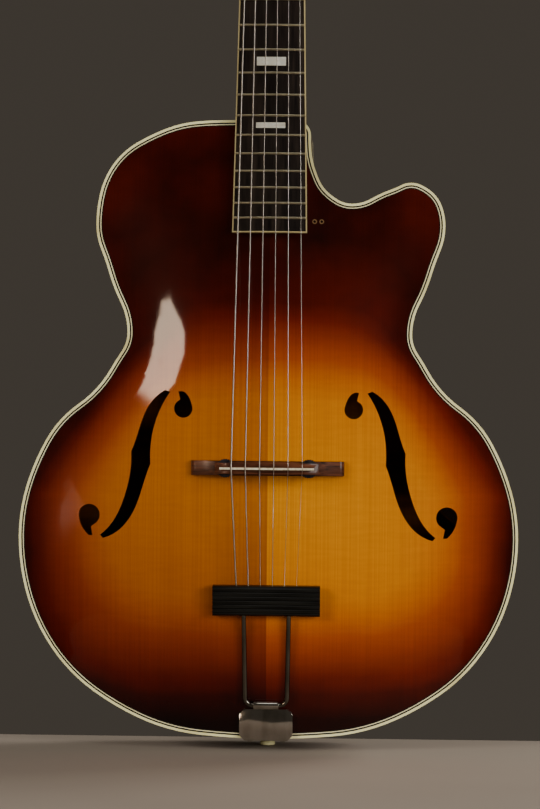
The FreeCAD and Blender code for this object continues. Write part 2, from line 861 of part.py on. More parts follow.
half_low = s.tail_rod_low_spacing / 2
half_top = s.tail_rod_top_spacing / 2
rod_top = bar_low + s.tail_rod_seat
leg_top = V(half_top, 0, rod_top)
leg_corner = V(half_low, 0, 0)
leg_way = (leg_top - leg_corner).normalize()
bend_trim = s.tail_rod_bend * math.tan(math.acos(leg_way.dot(V(1, 0, 0))) / 2)
right_bend_start = leg_corner - V(bend_trim, 0, 0)
right_bend_end = leg_corner + leg_way * bend_trim


def flipped(point):
    return V(-point.x, point.y, point.z)


rod_path = Part.Wire([
    Part.LineSegment(flipped(leg_top), flipped(right_bend_end)).toShape(),
    arc_edge(flipped(right_bend_end), flipped(leg_way) * -1, flipped(right_bend_start)),
    Part.LineSegment(flipped(right_bend_start), right_bend_start).toShape(),
    arc_edge(right_bend_start, V(1, 0, 0), right_bend_end),
    Part.LineSegment(right_bend_end, leg_top).toShape(),
])
rod_section = Part.Wire(Part.makeCircle(s.tail_rod_diameter / 2, flipped(leg_top), flipped(leg_way)))
tail_rod = rod_path.makePipeShell([rod_section], True, False)
feature("tailpiece_rod", tail_rod, tail_place)

half_bar = s.tail_bar_thickness / 2
bar_profile = [V(0, half_bar, bar_low), V(0, half_bar, bar_high), V(0, -half_bar + s.tail_bar_edge, bar_high)]
groove_step = (s.tail_bar_height - 2 * s.tail_bar_edge) / s.bar_grooves
for count in range(int(s.bar_grooves)):
    z = bar_high - s.tail_bar_edge - groove_step * count
    bar_profile.append(V(0, -half_bar, z))
    bar_profile.append(V(0, -half_bar, z - groove_step + 2 * s.tail_bar_groove))
    bar_profile.append(V(0, -half_bar + s.tail_bar_groove, z - groove_step + s.tail_bar_groove))
bar_profile.append(V(0, -half_bar, bar_low + s.tail_bar_edge))
bar_profile.append(V(0, -half_bar + s.tail_bar_edge, bar_low))
bar_profile.append(bar_profile[0])
bar_face = Part.Face(Part.makePolygon(bar_profile))
bar_face.translate(V(-s.tail_bar_width / 2, 0, 0))
tail_bar = bar_face.extrude(V(s.tail_bar_width, 0, 0))
to_tail = tail_place.inverse()
bar_cuts = [tail_rod]
for count in string_numbers:
    start = to_tail.multVec(ball_point(count))
    way = to_tail.Rotation.multVec(tail_way(count))
    bar_cuts.append(Part.makeCylinder(
        string_radius(count) + s.string_hole_clearance, s.tail_bar_height + s.overrun, start, way))
    seat = start + way * (s.ball_length / 2 + s.ball_clearance)
    bar_cuts.append(Part.makeCylinder(
        s.ball_diameter / 2 + s.ball_clearance, s.ball_length + s.overrun, seat, way * -1))
feature("tailpiece_bar", tail_bar.cut(bar_cuts), tail_place)

half_bracket = s.bracket_width / 2
half_leaf = half_bracket - s.bracket_corner
plate_outer = plate_inner - s.bracket_sheet
tongue = block(-s.knuckle_width / 2, s.knuckle_width / 2, plate_outer, plate_inner,
               hinge.z - knuckle_radius, hinge.z)
cover = block(-half_bracket, half_bracket, plate_outer, plate_inner,
              body_end - s.bracket_sheet, hinge.z - knuckle_radius)
end_leaf = block(-half_leaf, half_leaf, plate_outer, s.bracket_below_pin,
                 body_end - s.bracket_sheet, body_end)
corner_edges = [edge for edge in cover.Edges if edge.Length < s.bracket_sheet + gap]
end_edges = [edge for edge in end_leaf.Edges if abs(edge.CenterOfMass.x) > half_leaf - gap
             and edge.CenterOfMass.y > s.bracket_below_pin - gap]
cover = cover.makeChamfer(s.bracket_corner, corner_edges)
end_leaf = end_leaf.makeFillet(s.bracket_corner, end_edges)
knuckle = Part.makeCylinder(knuckle_radius, s.knuckle_width, hinge - V(s.knuckle_width / 2, 0, 0), V(1, 0, 0))
bore = Part.makeCylinder(s.tail_rod_diameter / 2 + s.hinge_clearance, s.knuckle_width + s.overrun,
                         hinge - V((s.knuckle_width + s.overrun) / 2, 0, 0), V(1, 0, 0))
bracket = cover.fuse([tongue, end_leaf, knuckle]).removeSplitter()
bend_edges = [edge for edge in bracket.Edges
              if edge.Length > 2 * half_leaf - gap and abs(edge.CenterOfMass.y - plate_outer) < gap
              and abs(edge.CenterOfMass.z - body_end + s.bracket_sheet) < gap]
bracket = bracket.makeFillet(s.bracket_sheet, bend_edges)
bracket_screw_places = []
screw_holes = []
for side in (-1, 1):
    spot = V(side * s.bracket_screw_spacing / 2, front + s.bracket_screw_depth, body_end - s.bracket_sheet)
    bracket_screw_places.append(FreeCAD.Placement(spot, FreeCAD.Rotation(V(1, 0, 0), 180)))
    screw_holes.append(Part.makeCylinder(s.bracket_screw_shank / 2, s.bracket_screw_length, spot))
feature("tailpiece_bracket", bracket.cut([bore, pin_hole] + screw_holes))
for label in ("bass_rim", "treble_rim", "tail_block"):
    nodes[label].Shape = nodes[label].Shape.cut(screw_holes)

# End pin: a turned strap button whose shank is pressed into the tail block

keep(turned("end_pin", [
    ("0", "0"),
    ("sizes.pin_head_diameter / 2", "0"),
    ("sizes.pin_head_diameter / 2", "sizes.pin_head_band"),
    ("sizes.pin_waist_diameter / 2", "sizes.pin_head_band + sizes.pin_edge"),
    ("sizes.pin_waist_diameter / 2", "sizes.pin_head_length - sizes.pin_flange_thickness"),
    ("sizes.pin_flange_diameter / 2", "sizes.pin_head_length - sizes.pin_flange_thickness"),
    ("sizes.pin_flange_diameter / 2", "sizes.pin_head_length"),
    ("sizes.pin_shank_diameter / 2", "sizes.pin_head_length"),
    ("sizes.pin_shank_diameter / 2", "sizes.pin_head_length + sizes.pin_shank_length"),
    ("0", "sizes.pin_head_length + sizes.pin_shank_length"),
]), "end_pin")

# Neck: shaft, heel, headstock, tongue under the board and tenon, carved from one piece

edge_distance = (neck_place.Base.z - s.board_thickness * math.sin(lean) - top_edge) / math.cos(lean)


def shaft_section(z, width, depth):
    """A D-shaped section below the board."""
    left = V(-width / 2, s.board_thickness, z)
    right = V(width / 2, s.board_thickness, z)
    low = V(0, s.board_thickness + depth, z)
    return Part.Wire([Part.LineSegment(left, right).toShape(), Part.Arc(right, low, left).toShape()])


def heel_section(y, width, length):
    """A heel section: flat against the rim, straight-sided and round at its nose."""
    half = width / 2
    shoulder = top_edge + length - half
    corners = [V(-half, y, shoulder), V(-half, y, top_edge), V(half, y, top_edge), V(half, y, shoulder)]
    edges = [Part.LineSegment(a, b).toShape() for a, b in zip(corners, corners[1:])]
    edges.append(Part.Arc(corners[3], V(0, y, top_edge + length), corners[0]).toShape())
    return Part.Wire(edges)


shaft = Part.makeLoft([
    shaft_section(s.nut_thickness, s.board_width_at_nut, s.neck_depth_at_nut),
    shaft_section(-edge_distance - s.overrun, board_width(edge_distance + s.overrun), s.neck_depth_at_heel),
], True, True)
heel_front = neck_place.multVec(V(0, s.board_thickness, -edge_distance)).y
heel_back = back - s.heel_cap_thickness
heel_steps_shares = [(0.0, 1.0), (0.28, 0.42), (0.62, 0.10), (1.0, 0.0)]
heel_sections = []
for depth_share, swell_share in heel_steps_shares:
    y = heel_front + s.overrun + (heel_back - heel_front - s.overrun) * depth_share
    width = s.heel_cap_width + (s.heel_width - s.heel_cap_width) * swell_share
    length = s.heel_cap_length + (s.heel_length - s.heel_cap_length) * swell_share
    heel_sections.append(heel_section(y, width, length))
heel = Part.makeLoft(heel_sections, True, False)
cap_outline = heel_section(heel_back, s.heel_cap_width, s.heel_cap_length)
feature("heel_cap", Part.Face(cap_outline).extrude(V(0, s.heel_cap_thickness, 0)))

extension_end = -s.board_length + s.extension_end_gap
extension_side = [
    V(-s.extension_width / 2, s.board_thickness, -edge_distance + s.overrun),
    V(-s.extension_width / 2, s.board_thickness, extension_end),
    V(-s.extension_width / 2, s.board_thickness + s.extension_end_thickness, extension_end),
    V(-s.extension_width / 2, s.board_thickness + s.extension_heel_thickness, -edge_distance + s.overrun),
]
extension_face = Part.Face(Part.makePolygon(extension_side + extension_side[:1]))
extension = extension_face.extrude(V(s.extension_width, 0, 0))

# Headstock outline: shares of the half width and of the length, narrow at the nut
head_side_shares = [
    (0.590, 0.000, 90), (0.680, 0.085, None), (0.900, 0.185, None), (1.000, 0.330, 91),
    (0.960, 0.860, 91), (0.860, 0.945, None), (0.430, 0.962, None),
]
head_points = [V(x * s.head_width / 2, 0, z * s.head_length) for x, z, heading in head_side_shares]
head_stations = [(point, row[2]) for point, row in zip(head_points, head_side_shares)]
head_stations.append((V(0, 0, s.head_length), 180))
for point, row in reversed(list(zip(head_points, head_side_shares))):
    head_stations.append((flipped(point), None if row[2] is None else row[2] + 180))
head_chain = arc_chain(head_stations)[:-2]
head_edges = [arc_edge(start, tangent, end) for start, tangent, end, last in head_chain]
head_edges.append(Part.LineSegment(flipped(head_points[0]), head_points[0]).toShape())
head_face = Part.Face(Part.Wire(head_edges))
head_wood = head_face.extrude(V(0, s.head_thickness, 0))
veneer = head_face.extrude(V(0, -s.veneer_thickness, 0))

# Tuner places in the headstock frame: the posts of strings 6, 5 and 4 stand on the bass side,
# and those of strings 1, 2 and 3 on the treble side, the outer strings nearest the nut.
post_rows = {6: (-1, 0), 5: (-1, 1), 4: (-1, 2), 1: (1, 0), 2: (1, 1), 3: (1, 2)}


def post_spot(count):
    side, row = post_rows[count]
    return V(side * s.post_row_spacing / 2, 0, s.first_post_height + row * s.post_pitch)


post_holes = []
for count in string_numbers:
    start = post_spot(count) - V(0, s.veneer_thickness + s.overrun, 0)
    post_holes.append(Part.makeCylinder(
        s.bushing_diameter / 2, s.head_thickness + s.veneer_thickness + 2 * s.overrun, start, V(0, 1, 0)))

rod_axis = s.board_thickness + s.truss_rod_drop
channel_floor = rod_axis + s.truss_rod_diameter / 2
channel = block(-s.truss_channel_width / 2, s.truss_channel_width / 2, -s.overrun, channel_floor,
                -s.truss_rod_length + s.truss_nut_reach, s.truss_nut_reach)
half_pocket = s.truss_pocket_width / 2
nut_pocket = block(-half_pocket, half_pocket, -s.overrun, rod_axis + half_pocket,
                   s.nut_thickness + s.truss_pocket_gap, s.truss_nut_reach + s.truss_pocket_gap)

below_edge = block(-reach, reach, front - 2 * s.body_depth, back + s.body_depth,
                   top_edge - s.body_length, top_edge)
neck_wood = placed(shaft, neck_place).fuse(heel).cut(below_edge)
neck_wood = neck_wood.fuse([placed(extension, neck_place), tenon, placed(head_wood, head_place)])
neck_cuts = [placed(channel, neck_place), placed(nut_pocket, neck_place)]
neck_cuts += [placed(hole, head_place) for hole in post_holes]
feature("neck", neck_wood.cut(neck_cuts).removeSplitter())

to_head = head_place.inverse().multiply(neck_place)
nut_clear = placed(block(-s.head_width, s.head_width, -s.head_length, s.head_length,
                         -s.head_length, s.nut_thickness), to_head)
feature("headstock_veneer", veneer.cut(post_holes + [placed(nut_pocket, to_head), nut_clear]), head_place)

# Truss rod with its hexagon nut, and the cover over its pocket

rod = primitive("Cylinder", "rod_bar", FreeCAD.Placement(
    V(0, rod_axis, s.truss_nut_reach - s.truss_rod_length), FreeCAD.Rotation()),
    Radius="sizes.truss_rod_diameter / 2", Height="sizes.truss_rod_length")
hexagon = primitive("Prism", "rod_nut", FreeCAD.Placement(
    V(0, rod_axis, s.truss_nut_reach - s.truss_nut_length), FreeCAD.Rotation()),
    Circumradius="sizes.truss_nut_width / 2 / cos(30)", Height="sizes.truss_nut_length")
hexagon.Polygon = 6
doc.recompute()
rod_nut = hexagon.Shape.cut(rod.Shape)
feature("truss_rod", Part.makeCompound([rod.Shape.copy(), rod_nut]), neck_place)

cover_half = s.truss_cover_width / 2
cover_foot = s.truss_cover_foot_width / 2
cover_high = s.truss_cover_gap + s.truss_cover_length
cover_points = [
    V(cover_foot, 0, s.truss_cover_gap), V(cover_half, 0, s.truss_cover_gap + cover_foot),
    V(cover_half, 0, cover_high - cover_half), V(0, 0, cover_high),
]
cover_stations = [(cover_points[0], None), (cover_points[1], 90), (cover_points[2], 90), (cover_points[3], 180)]
cover_stations += [(flipped(cover_points[2]), 270), (flipped(cover_points[1]), 270),
                   (flipped(cover_points[0]), None)]
cover_face = Part.Face(inset_wire(arc_chain(cover_stations), 0, -s.veneer_thickness))
cover_plate = cover_face.extrude(V(0, -s.truss_cover_thickness, 0))
cover_screw_spots = [V(side * cover_foot, 0, cover_high - cover_half) for side in (-1, 1)]


def front_screw_place(spot, y):
    """A screw in the headstock's front, its head outwards."""
    return FreeCAD.Placement(V(spot.x, y, spot.z), FreeCAD.Rotation(V(1, 0, 0), 90))


def back_screw_place(spot, y):
    """A screw in the headstock's back, its head outwards."""
    return FreeCAD.Placement(V(spot.x, y, spot.z), FreeCAD.Rotation(V(1, 0, 0), -90))


def shank_hole(placement):
    hole = Part.makeCylinder(s.small_screw_shank / 2, s.small_screw_length + s.overrun,
                             V(0, 0, -s.small_screw_length))
    hole.Placement = placement
    return hole


cover_screws = [front_screw_place(spot, -s.veneer_thickness - s.truss_cover_thickness)
                for spot in cover_screw_spots]
feature("truss_rod_cover", cover_plate.cut([shank_hole(place) for place in cover_screws]), head_place)

# Nut: bone, with a groove for each string

nut_bar = crowned_bar(s.board_width_at_nut / 2, s.string_rise_at_nut, s.board_thickness, 0, s.nut_thickness)


def post_radius(count):
    """The middle of the wire wound on the post."""
    return s.post_waist_diameter / 2 + s.winding_post_gap + string_radius(count)


def winding_level(count):
    """How far in front of the headstock wood the first turn lies."""
    return s.veneer_thickness + s.bushing_flange_thickness + s.winding_rise + string_radius(count)


def winding_entry(count):
    """Where the string meets its post, in the headstock frame, and its way there."""
    side, row = post_rows[count]
    start = head_place.inverse().multVec(nut_point(count))
    centre = post_spot(count)
    flat = V(centre.x - start.x, 0, centre.z - start.z)
    radius = post_radius(count)
    swing = side * math.asin(radius / flat.Length)
    tangent = V(flat.x * math.cos(swing) - flat.z * math.sin(swing), 0,
                flat.x * math.sin(swing) + flat.z * math.cos(swing)).normalize()
    run = math.sqrt(flat.Length ** 2 - radius ** 2)
    entry = V(start.x + tangent.x * run, -winding_level(count), start.z + tangent.z * run)
    return entry, (entry - start).normalize()


def groove(point, way, radius, length):
    """A round groove along way that also clears the string's bend at its start."""
    return Part.makeCylinder(radius, length + radius, point - way * radius, way)


nut_cuts = []
for count in string_numbers:
    radius = string_radius(count) + s.string_groove_clearance
    speaking = (saddle_point(count) - nut_point(count)).normalize()
    entry, way = winding_entry(count)
    past_nut = head_place.Rotation.multVec(way)
    to_neck = neck_place.inverse()
    spot = to_neck.multVec(nut_point(count))
    nut_cuts.append(groove(spot, to_neck.Rotation.multVec(speaking), radius, s.nut_thickness + s.overrun))
    nut_cuts.append(groove(spot, to_neck.Rotation.multVec(past_nut), radius, s.nut_thickness + s.overrun))
feature("nut", nut_bar.cut(nut_cuts), neck_place)

# Bridge: a foot carved to the top, two threaded posts, two thumbwheels and the saddle on them

arch_top = front - s.top_arch * arch_swell(0, saddle_line)
foot_top = arch_top - s.bridge_height
half_bridge = s.bridge_length / 2
half_saddle = s.saddle_length / 2
z_low = saddle_line - s.bridge_depth / 2
end_top = foot_top + s.bridge_height - s.bridge_end_height
step_x = half_bridge - s.bridge_step_length
base_profile = [
    V(-half_bridge, front, z_low), V(-half_bridge, end_top, z_low),
    V(-step_x, end_top - s.bridge_step_height, z_low), V(-half_saddle, foot_top, z_low),
    V(half_saddle, foot_top, z_low), V(step_x, end_top - s.bridge_step_height, z_low),
    V(half_bridge, end_top, z_low), V(half_bridge, front, z_low),
]
base_blank = Part.Face(Part.makePolygon(base_profile + base_profile[:1])).extrude(V(0, 0, s.bridge_depth))
below_surface = top_outside.extrude(depth_way)
post_bottom = foot_top + s.bridge_post_sink
posts = []
for side in (-1, 1):
    post = primitive("Cylinder", "bridge_post", FreeCAD.Placement(
        V(side * s.bridge_post_spacing / 2, post_bottom, saddle_line), FreeCAD.Rotation(V(1, 0, 0), 90)),
        Radius="sizes.bridge_post_diameter / 2",
        Height="sizes.bridge_post_sink + sizes.bridge_post_reach")
    posts.append(post)
doc.recompute()
post_solids = [post.Shape.copy() for post in posts]
feature("bridge_posts", Part.makeCompound(post_solids))
feature("bridge_base", base_blank.cut([below_surface] + post_solids))

wheel_low = foot_top - s.wheel_seat_gap
wheel_high = wheel_low - s.wheel_thickness
wheel = turned("wheel_blank", [
    ("sizes.bridge_post_diameter / 2 + sizes.wheel_clearance", "0"),
    ("sizes.wheel_diameter / 2 - sizes.wheel_edge", "0"),
    ("sizes.wheel_diameter / 2", "sizes.wheel_edge"),
    ("sizes.wheel_diameter / 2", "sizes.wheel_thickness - sizes.wheel_edge"),
    ("sizes.wheel_diameter / 2 - sizes.wheel_edge", "sizes.wheel_thickness"),
    ("sizes.bridge_post_diameter / 2 + sizes.wheel_clearance", "sizes.wheel_thickness"),
])
notch = Part.makeCylinder(s.wheel_notch, s.wheel_thickness + s.overrun,
                          V(s.wheel_diameter / 2 + s.wheel_notch / 2, 0, -s.overrun / 2))
wheel_notches = []
for count in range(int(s.wheel_notches)):
    spun = notch.copy()
    spun.rotate(V(0, 0, 0), V(0, 0, 1), 360 * count / s.wheel_notches)
    wheel_notches.append(spun)
wheel_solid = wheel.Shape.cut(wheel_notches)
for label, side in (("bass_thumbwheel", -1), ("treble_thumbwheel", 1)):
    feature(label, wheel_solid.copy(), FreeCAD.Placement(
        V(side * s.bridge_post_spacing / 2, wheel_low, saddle_line), FreeCAD.Rotation(V(1, 0, 0), 90)))

saddle_floor = wheel_high - s.saddle_wheel_gap
saddle_low = saddle_line - s.saddle_depth / 2
shoulder_x = half_saddle - s.saddle_end_length


def saddle_crown(x, drop):
    return V(x, saddle_crown_y + crown_drop(x) + drop, saddle_low)


end_face_y = saddle_floor - s.saddle_end_height
saddle_corners = [
    saddle_crown(shoulder_x, s.saddle_drop), V(half_saddle, end_face_y, saddle_low),
    V(half_saddle, saddle_floor, saddle_low), V(-half_saddle, saddle_floor, saddle_low),
    V(-half_saddle, end_face_y, saddle_low), saddle_crown(-shoulder_x, s.saddle_drop),
]
saddle_edges = [Part.LineSegment(a, b).toShape() for a, b in zip(saddle_corners, saddle_corners[1:])]
saddle_edges.append(Part.Arc(saddle_corners[-1], saddle_crown(0, s.saddle_drop), saddle_corners[0]).toShape())
saddle_blank = Part.Face(Part.Wire(saddle_edges)).extrude(V(0, 0, s.saddle_depth))
half_bone = s.bone_length / 2
bone_floor = saddle_crown(half_bone, s.saddle_drop).y + s.bone_sink
bone_low = saddle_line - s.bone_width / 2
bone_slot = block(-half_bone, half_bone, saddle_crown_y - s.overrun, bone_floor,
                  bone_low, bone_low + s.bone_width)
post_end = foot_top - s.bridge_post_reach
hole_depth = saddle_floor - post_end + s.saddle_travel_down + s.saddle_clearance
saddle_holes = []
for side in (-1, 1):
    start = V(side * s.bridge_post_spacing / 2, saddle_floor + s.overrun, saddle_line)
    saddle_holes.append(Part.makeCylinder(
        s.bridge_post_diameter / 2 + s.saddle_clearance, hole_depth + s.overrun, start, V(0, -1, 0)))
feature("bridge_saddle", saddle_blank.cut([bone_slot] + saddle_holes))
bone_edges = [
    Part.Arc(saddle_crown(-half_bone, 0), saddle_crown(0, 0), saddle_crown(half_bone, 0)).toShape(),
]
bone_corners = [saddle_crown(half_bone, 0), V(half_bone, bone_floor, saddle_low),
                V(-half_bone, bone_floor, saddle_low), saddle_crown(-half_bone, 0)]
bone_edges += [Part.LineSegment(a, b).toShape() for a, b in zip(bone_corners, bone_corners[1:])]
bone = Part.Face(Part.Wire(bone_edges)).extrude(V(0, 0, s.bone_width))
bone.translate(V(0, 0, bone_low - saddle_low))
bone_cuts = []
for count in string_numbers:
    start = V(saddle_point(count).x, saddle_point(count).y, bone_low - s.overrun)
    bone_cuts.append(Part.makeCylinder(
        string_radius(count) + s.bone_groove_clearance, s.bone_width + 2 * s.overrun, start, V(0, 0, 1)))
feature("saddle_bone", bone.cut(bone_cuts))

# Tuners: a worm on the button's shaft turns the gear at the foot of each post

plate_back = s.head_thickness + s.tuner_plate_thickness
worm_tip = s.worm_pitch_radius + s.gear_addendum
worm_core = s.worm_pitch_radius - s.gear_dedendum
gear_middle = plate_back + worm_tip + s.worm_plate_gap
gear_front = gear_middle - s.gear_face / 2
gear_back = gear_middle + s.gear_face / 2
worm_offset = s.gear_pitch_radius + s.worm_pitch_radius
worm_lead = 2 * math.pi * s.gear_pitch_radius / s.gear_teeth
thread_length = worm_lead * s.worm_turns
ear_inner = thread_length / 2 + s.gear_tooth_thickness + s.ear_gap

gear_front_text = ("(sizes.head_thickness + sizes.tuner_plate_thickness + sizes.worm_pitch_radius"
                   " + sizes.gear_addendum + sizes.worm_plate_gap - sizes.gear_face / 2)")
post_base_text = "(sizes.veneer_thickness + sizes.bushing_flange_thickness + sizes.worm_plate_gap)"
waist_low_text = "(%s + sizes.post_waist_step)" % post_base_text
waist_high_text = "(%s + sizes.post_waist_length)" % waist_low_text
cap_low_text = "(%s + sizes.post_waist_step)" % waist_high_text
cap_high_text = "(%s + sizes.post_cap_length)" % cap_low_text
post_body = turned("post_blank", [
    ("0", "-%s - sizes.gear_face" % gear_front_text),
    ("sizes.gear_bore / 2", "-%s - sizes.gear_face" % gear_front_text),
    ("sizes.gear_bore / 2", "-" + gear_front_text),
    ("sizes.post_diameter / 2", "-" + gear_front_text),
    ("sizes.post_diameter / 2", post_base_text),
    ("sizes.post_waist_diameter / 2", waist_low_text),
    ("sizes.post_waist_diameter / 2", waist_high_text),
    ("sizes.post_diameter / 2", cap_low_text),
    ("sizes.post_diameter / 2", cap_high_text + " - sizes.post_cap_edge"),
    ("sizes.post_diameter / 2 - sizes.post_cap_edge", cap_high_text),
    ("0", cap_high_text),
])
post_hole_level = number(cap_low_text) + s.post_hole_diameter
cross_hole = Part.makeCylinder(s.post_hole_diameter / 2, 2 * s.post_diameter,
                               V(-s.post_diameter, 0, post_hole_level), V(1, 0, 0))
screw_hole = Part.makeCylinder(s.gear_screw_diameter / 2, s.gear_screw_length, V(0, 0, -gear_back))
post_solid = post_body.Shape.cut([cross_hole, screw_hole])

gear_points = []
for tooth in range(int(s.gear_teeth)):
    middle = 90 + (tooth + 0.5) * 360 / s.gear_teeth
    root = s.gear_pitch_radius - s.gear_dedendum
    tip = s.gear_pitch_radius + s.gear_addendum
    thick = s.gear_tooth_thickness / 2
    for across, radius in ((-thick - s.gear_tooth_draft, root), (-thick + s.gear_tooth_draft, tip),
                           (thick - s.gear_tooth_draft, tip), (thick + s.gear_tooth_draft, root)):
        turn = math.radians(middle) + across / radius
        gear_points.append(V(radius * math.cos(turn), gear_front, radius * math.sin(turn)))
gear_blank = Part.Face(Part.makePolygon(gear_points + gear_points[:1])).extrude(V(0, s.gear_face, 0))
gear = gear_blank.cut(Part.makeCylinder(s.gear_bore / 2, s.head_length, V(0, 0, 0), V(0, 1, 0)))

gear_screw = turned("gear_screw_blank", [
    ("0", "-sizes.gear_screw_length"),
    ("sizes.gear_screw_diameter / 2", "-sizes.gear_screw_length"),
    ("sizes.gear_screw_diameter / 2", "0"),
    ("sizes.gear_screw_head / 2", "0"),
    ("sizes.gear_screw_head / 2", "sizes.gear_screw_head_height / 2"),
    ("sizes.gear_screw_diameter / 2", "sizes.gear_screw_head_height"),
    ("0", "sizes.gear_screw_head_height"),
])
slot_cut = block(-s.gear_screw_head, s.gear_screw_head, -s.gear_screw_slot / 2, s.gear_screw_slot / 2,
                 s.gear_screw_head_height / 2, 2 * s.gear_screw_head_height)
gear_screw_solid = gear_screw.Shape.cut(slot_cut)
outwards = FreeCAD.Placement(V(0, gear_back, 0), FreeCAD.Rotation(V(1, 0, 0), -90))
frontwards = FreeCAD.Placement(V(0, 0, 0), FreeCAD.Rotation(V(1, 0, 0), 90))

# The worm runs along its own Z; its thread faces the gear at the middle of its length.
helix = Part.makeHelix(worm_lead, thread_length, worm_core)
thick = s.gear_tooth_thickness / 2
thread_profile = Part.makePolygon([
    V(worm_core - s.worm_thread_root, 0, -thick - s.gear_tooth_draft),
    V(worm_tip, 0, -thick + s.gear_tooth_draft), V(worm_tip, 0, thick - s.gear_tooth_draft),
    V(worm_core - s.worm_thread_root, 0, thick + s.gear_tooth_draft),
    V(worm_core - s.worm_thread_root, 0, -thick - s.gear_tooth_draft),
])
thread = helix.makePipeShell([thread_profile], True, True)
thread.translate(V(0, 0, -thread_length / 2))
core_half = ear_inner - s.ear_gap
core = Part.makeCylinder(worm_core, 2 * core_half, V(0, 0, -core_half))
threaded = core.fuse(thread)

shaft_far = s.head_width / 2 - s.post_row_spacing / 2 + s.button_gap
ear_outer = ear_inner + s.ear_thickness
inner_end = ear_outer + s.worm_tail
shaft_long = Part.makeCylinder(s.worm_shaft_diameter / 2, shaft_far + s.button_collar + inner_end,
                               V(0, 0, -inner_end))
worm_solid = threaded.fuse(shaft_long)
shaft_tip = shaft_far + s.button_collar

button_body = padded("button_blank", "XZ_Plane", [
    ("-sizes.button_width / 2", "sizes.button_length * sizes.button_neck_share"),
    ("-sizes.button_width * sizes.button_flat_share", "0"),
    ("sizes.button_width * sizes.button_flat_share", "0"),
    ("sizes.button_width / 2", "sizes.button_length * sizes.button_neck_share"),
    ("sizes.button_width / 2", "sizes.button_length * sizes.button_crown_share"),
    ("sizes.button_width * sizes.button_flat_share", "sizes.button_length"),
    ("-sizes.button_width * sizes.button_flat_share", "sizes.button_length"),
    ("-sizes.button_width / 2", "sizes.button_length * sizes.button_crown_share"),
], "sizes.button_thickness")
button_rim = [edge for edge in button_body.Shape.Edges if edge.CenterOfMass.y > gap
              or edge.CenterOfMass.y < -gap]
button_solid = button_body.Shape.makeFillet(s.button_edge, button_rim)
button_solid.translate(V(0, 0, shaft_tip - s.button_collar))
collar = Part.makeCylinder(s.button_collar_diameter / 2, s.button_collar,
                           V(0, 0, shaft_far - s.button_collar))
button_solid = button_solid.fuse(collar).cut(shaft_long)

ears = []
plate_solids = []
plate_holes = []
for count in string_numbers:
    side, row = post_rows[count]
    spot = post_spot(count)
    lift = spot.z + worm_offset
    for way in (-1, 1):
        x_near = spot.x + way * ear_inner
        x_far = spot.x + way * ear_outer
        ears.append((side, block(min(x_near, x_far), max(x_near, x_far), plate_back,
                                 gear_middle + s.worm_shaft_diameter / 2 + s.ear_roof,
                                 lift - s.ear_width / 2, lift + s.ear_width / 2)))
    plate_holes.append(Part.makeCylinder(
        s.worm_shaft_diameter / 2 + s.hinge_clearance, s.head_width,
        V(spot.x - s.head_width / 2, gear_middle, lift), V(1, 0, 0)))
    plate_holes.append(Part.makeCylinder(
        s.post_diameter / 2 + s.tuner_plate_hole_clearance, plate_back + s.overrun,
        V(spot.x, 0, spot.z), V(0, 1, 0)))
    facing = FreeCAD.Rotation(V(0, 0, 1), 90 - 90 * side).multiply(FreeCAD.Rotation(V(0, 1, 0), 90))
    turned_worm = FreeCAD.Placement(V(spot.x, gear_middle, lift), facing)
    feature("tuner_%d_worm" % count, placed(worm_solid, turned_worm), head_place)
    feature("tuner_%d_button" % count, placed(button_solid, turned_worm), head_place)
    post_shift = FreeCAD.Placement(spot, FreeCAD.Rotation())
    feature("tuner_%d_post" % count, Part.makeCompound([
        placed(post_solid, post_shift.multiply(frontwards)),
        placed(gear, post_shift),
        placed(gear_screw_solid, post_shift.multiply(outwards)),
    ]), head_place)

plate_middle = s.first_post_height + s.post_pitch
plate_screws = []
for side in (-1, 1):
    x = side * s.post_row_spacing / 2
    strip = block(x - s.tuner_plate_width / 2, x + s.tuner_plate_width / 2, s.head_thickness, plate_back,
                  plate_middle - s.tuner_plate_length / 2, plate_middle + s.tuner_plate_length / 2)
    plate = strip.fuse([ear for ear_side, ear in ears if ear_side == side])
    spots = [plate_middle - s.post_pitch / 2, plate_middle + s.post_pitch / 2]
    spots += [plate_middle + way * (s.tuner_plate_length / 2 - s.plate_screw_margin) for way in (-1, 1)]
    places = [back_screw_place(V(x, 0, z), plate_back) for z in spots]
    plate_screws += places
    plate_solids.append(plate.cut(plate_holes + [shank_hole(place) for place in places]))
feature("tuner_plates", Part.makeCompound(plate_solids), head_place)

bushing = turned("bushing_blank", [
    ("sizes.post_diameter / 2 + sizes.post_clearance", "sizes.veneer_thickness - sizes.bushing_length"),
    ("sizes.bushing_diameter / 2", "sizes.veneer_thickness - sizes.bushing_length"),
    ("sizes.bushing_diameter / 2", "sizes.veneer_thickness"),
    ("sizes.bushing_flange_diameter / 2", "sizes.veneer_thickness"),
    ("sizes.bushing_flange_diameter / 2",
     "sizes.veneer_thickness + sizes.bushing_flange_thickness / 2"),
    ("sizes.bushing_diameter / 2", "sizes.veneer_thickness + sizes.bushing_flange_thickness"),
    ("sizes.post_diameter / 2 + sizes.post_clearance",
     "sizes.veneer_thickness + sizes.bushing_flange_thickness"),
])
bushing_places = [FreeCAD.Placement(post_spot(count), FreeCAD.Rotation(V(1, 0, 0), 90))
                  for count in string_numbers]
feature("tuner_bushings", copies(bushing.Shape, bushing_places), head_place)

# Screws: one small pattern for the tuner plates and the cover, and a larger one for the bracket


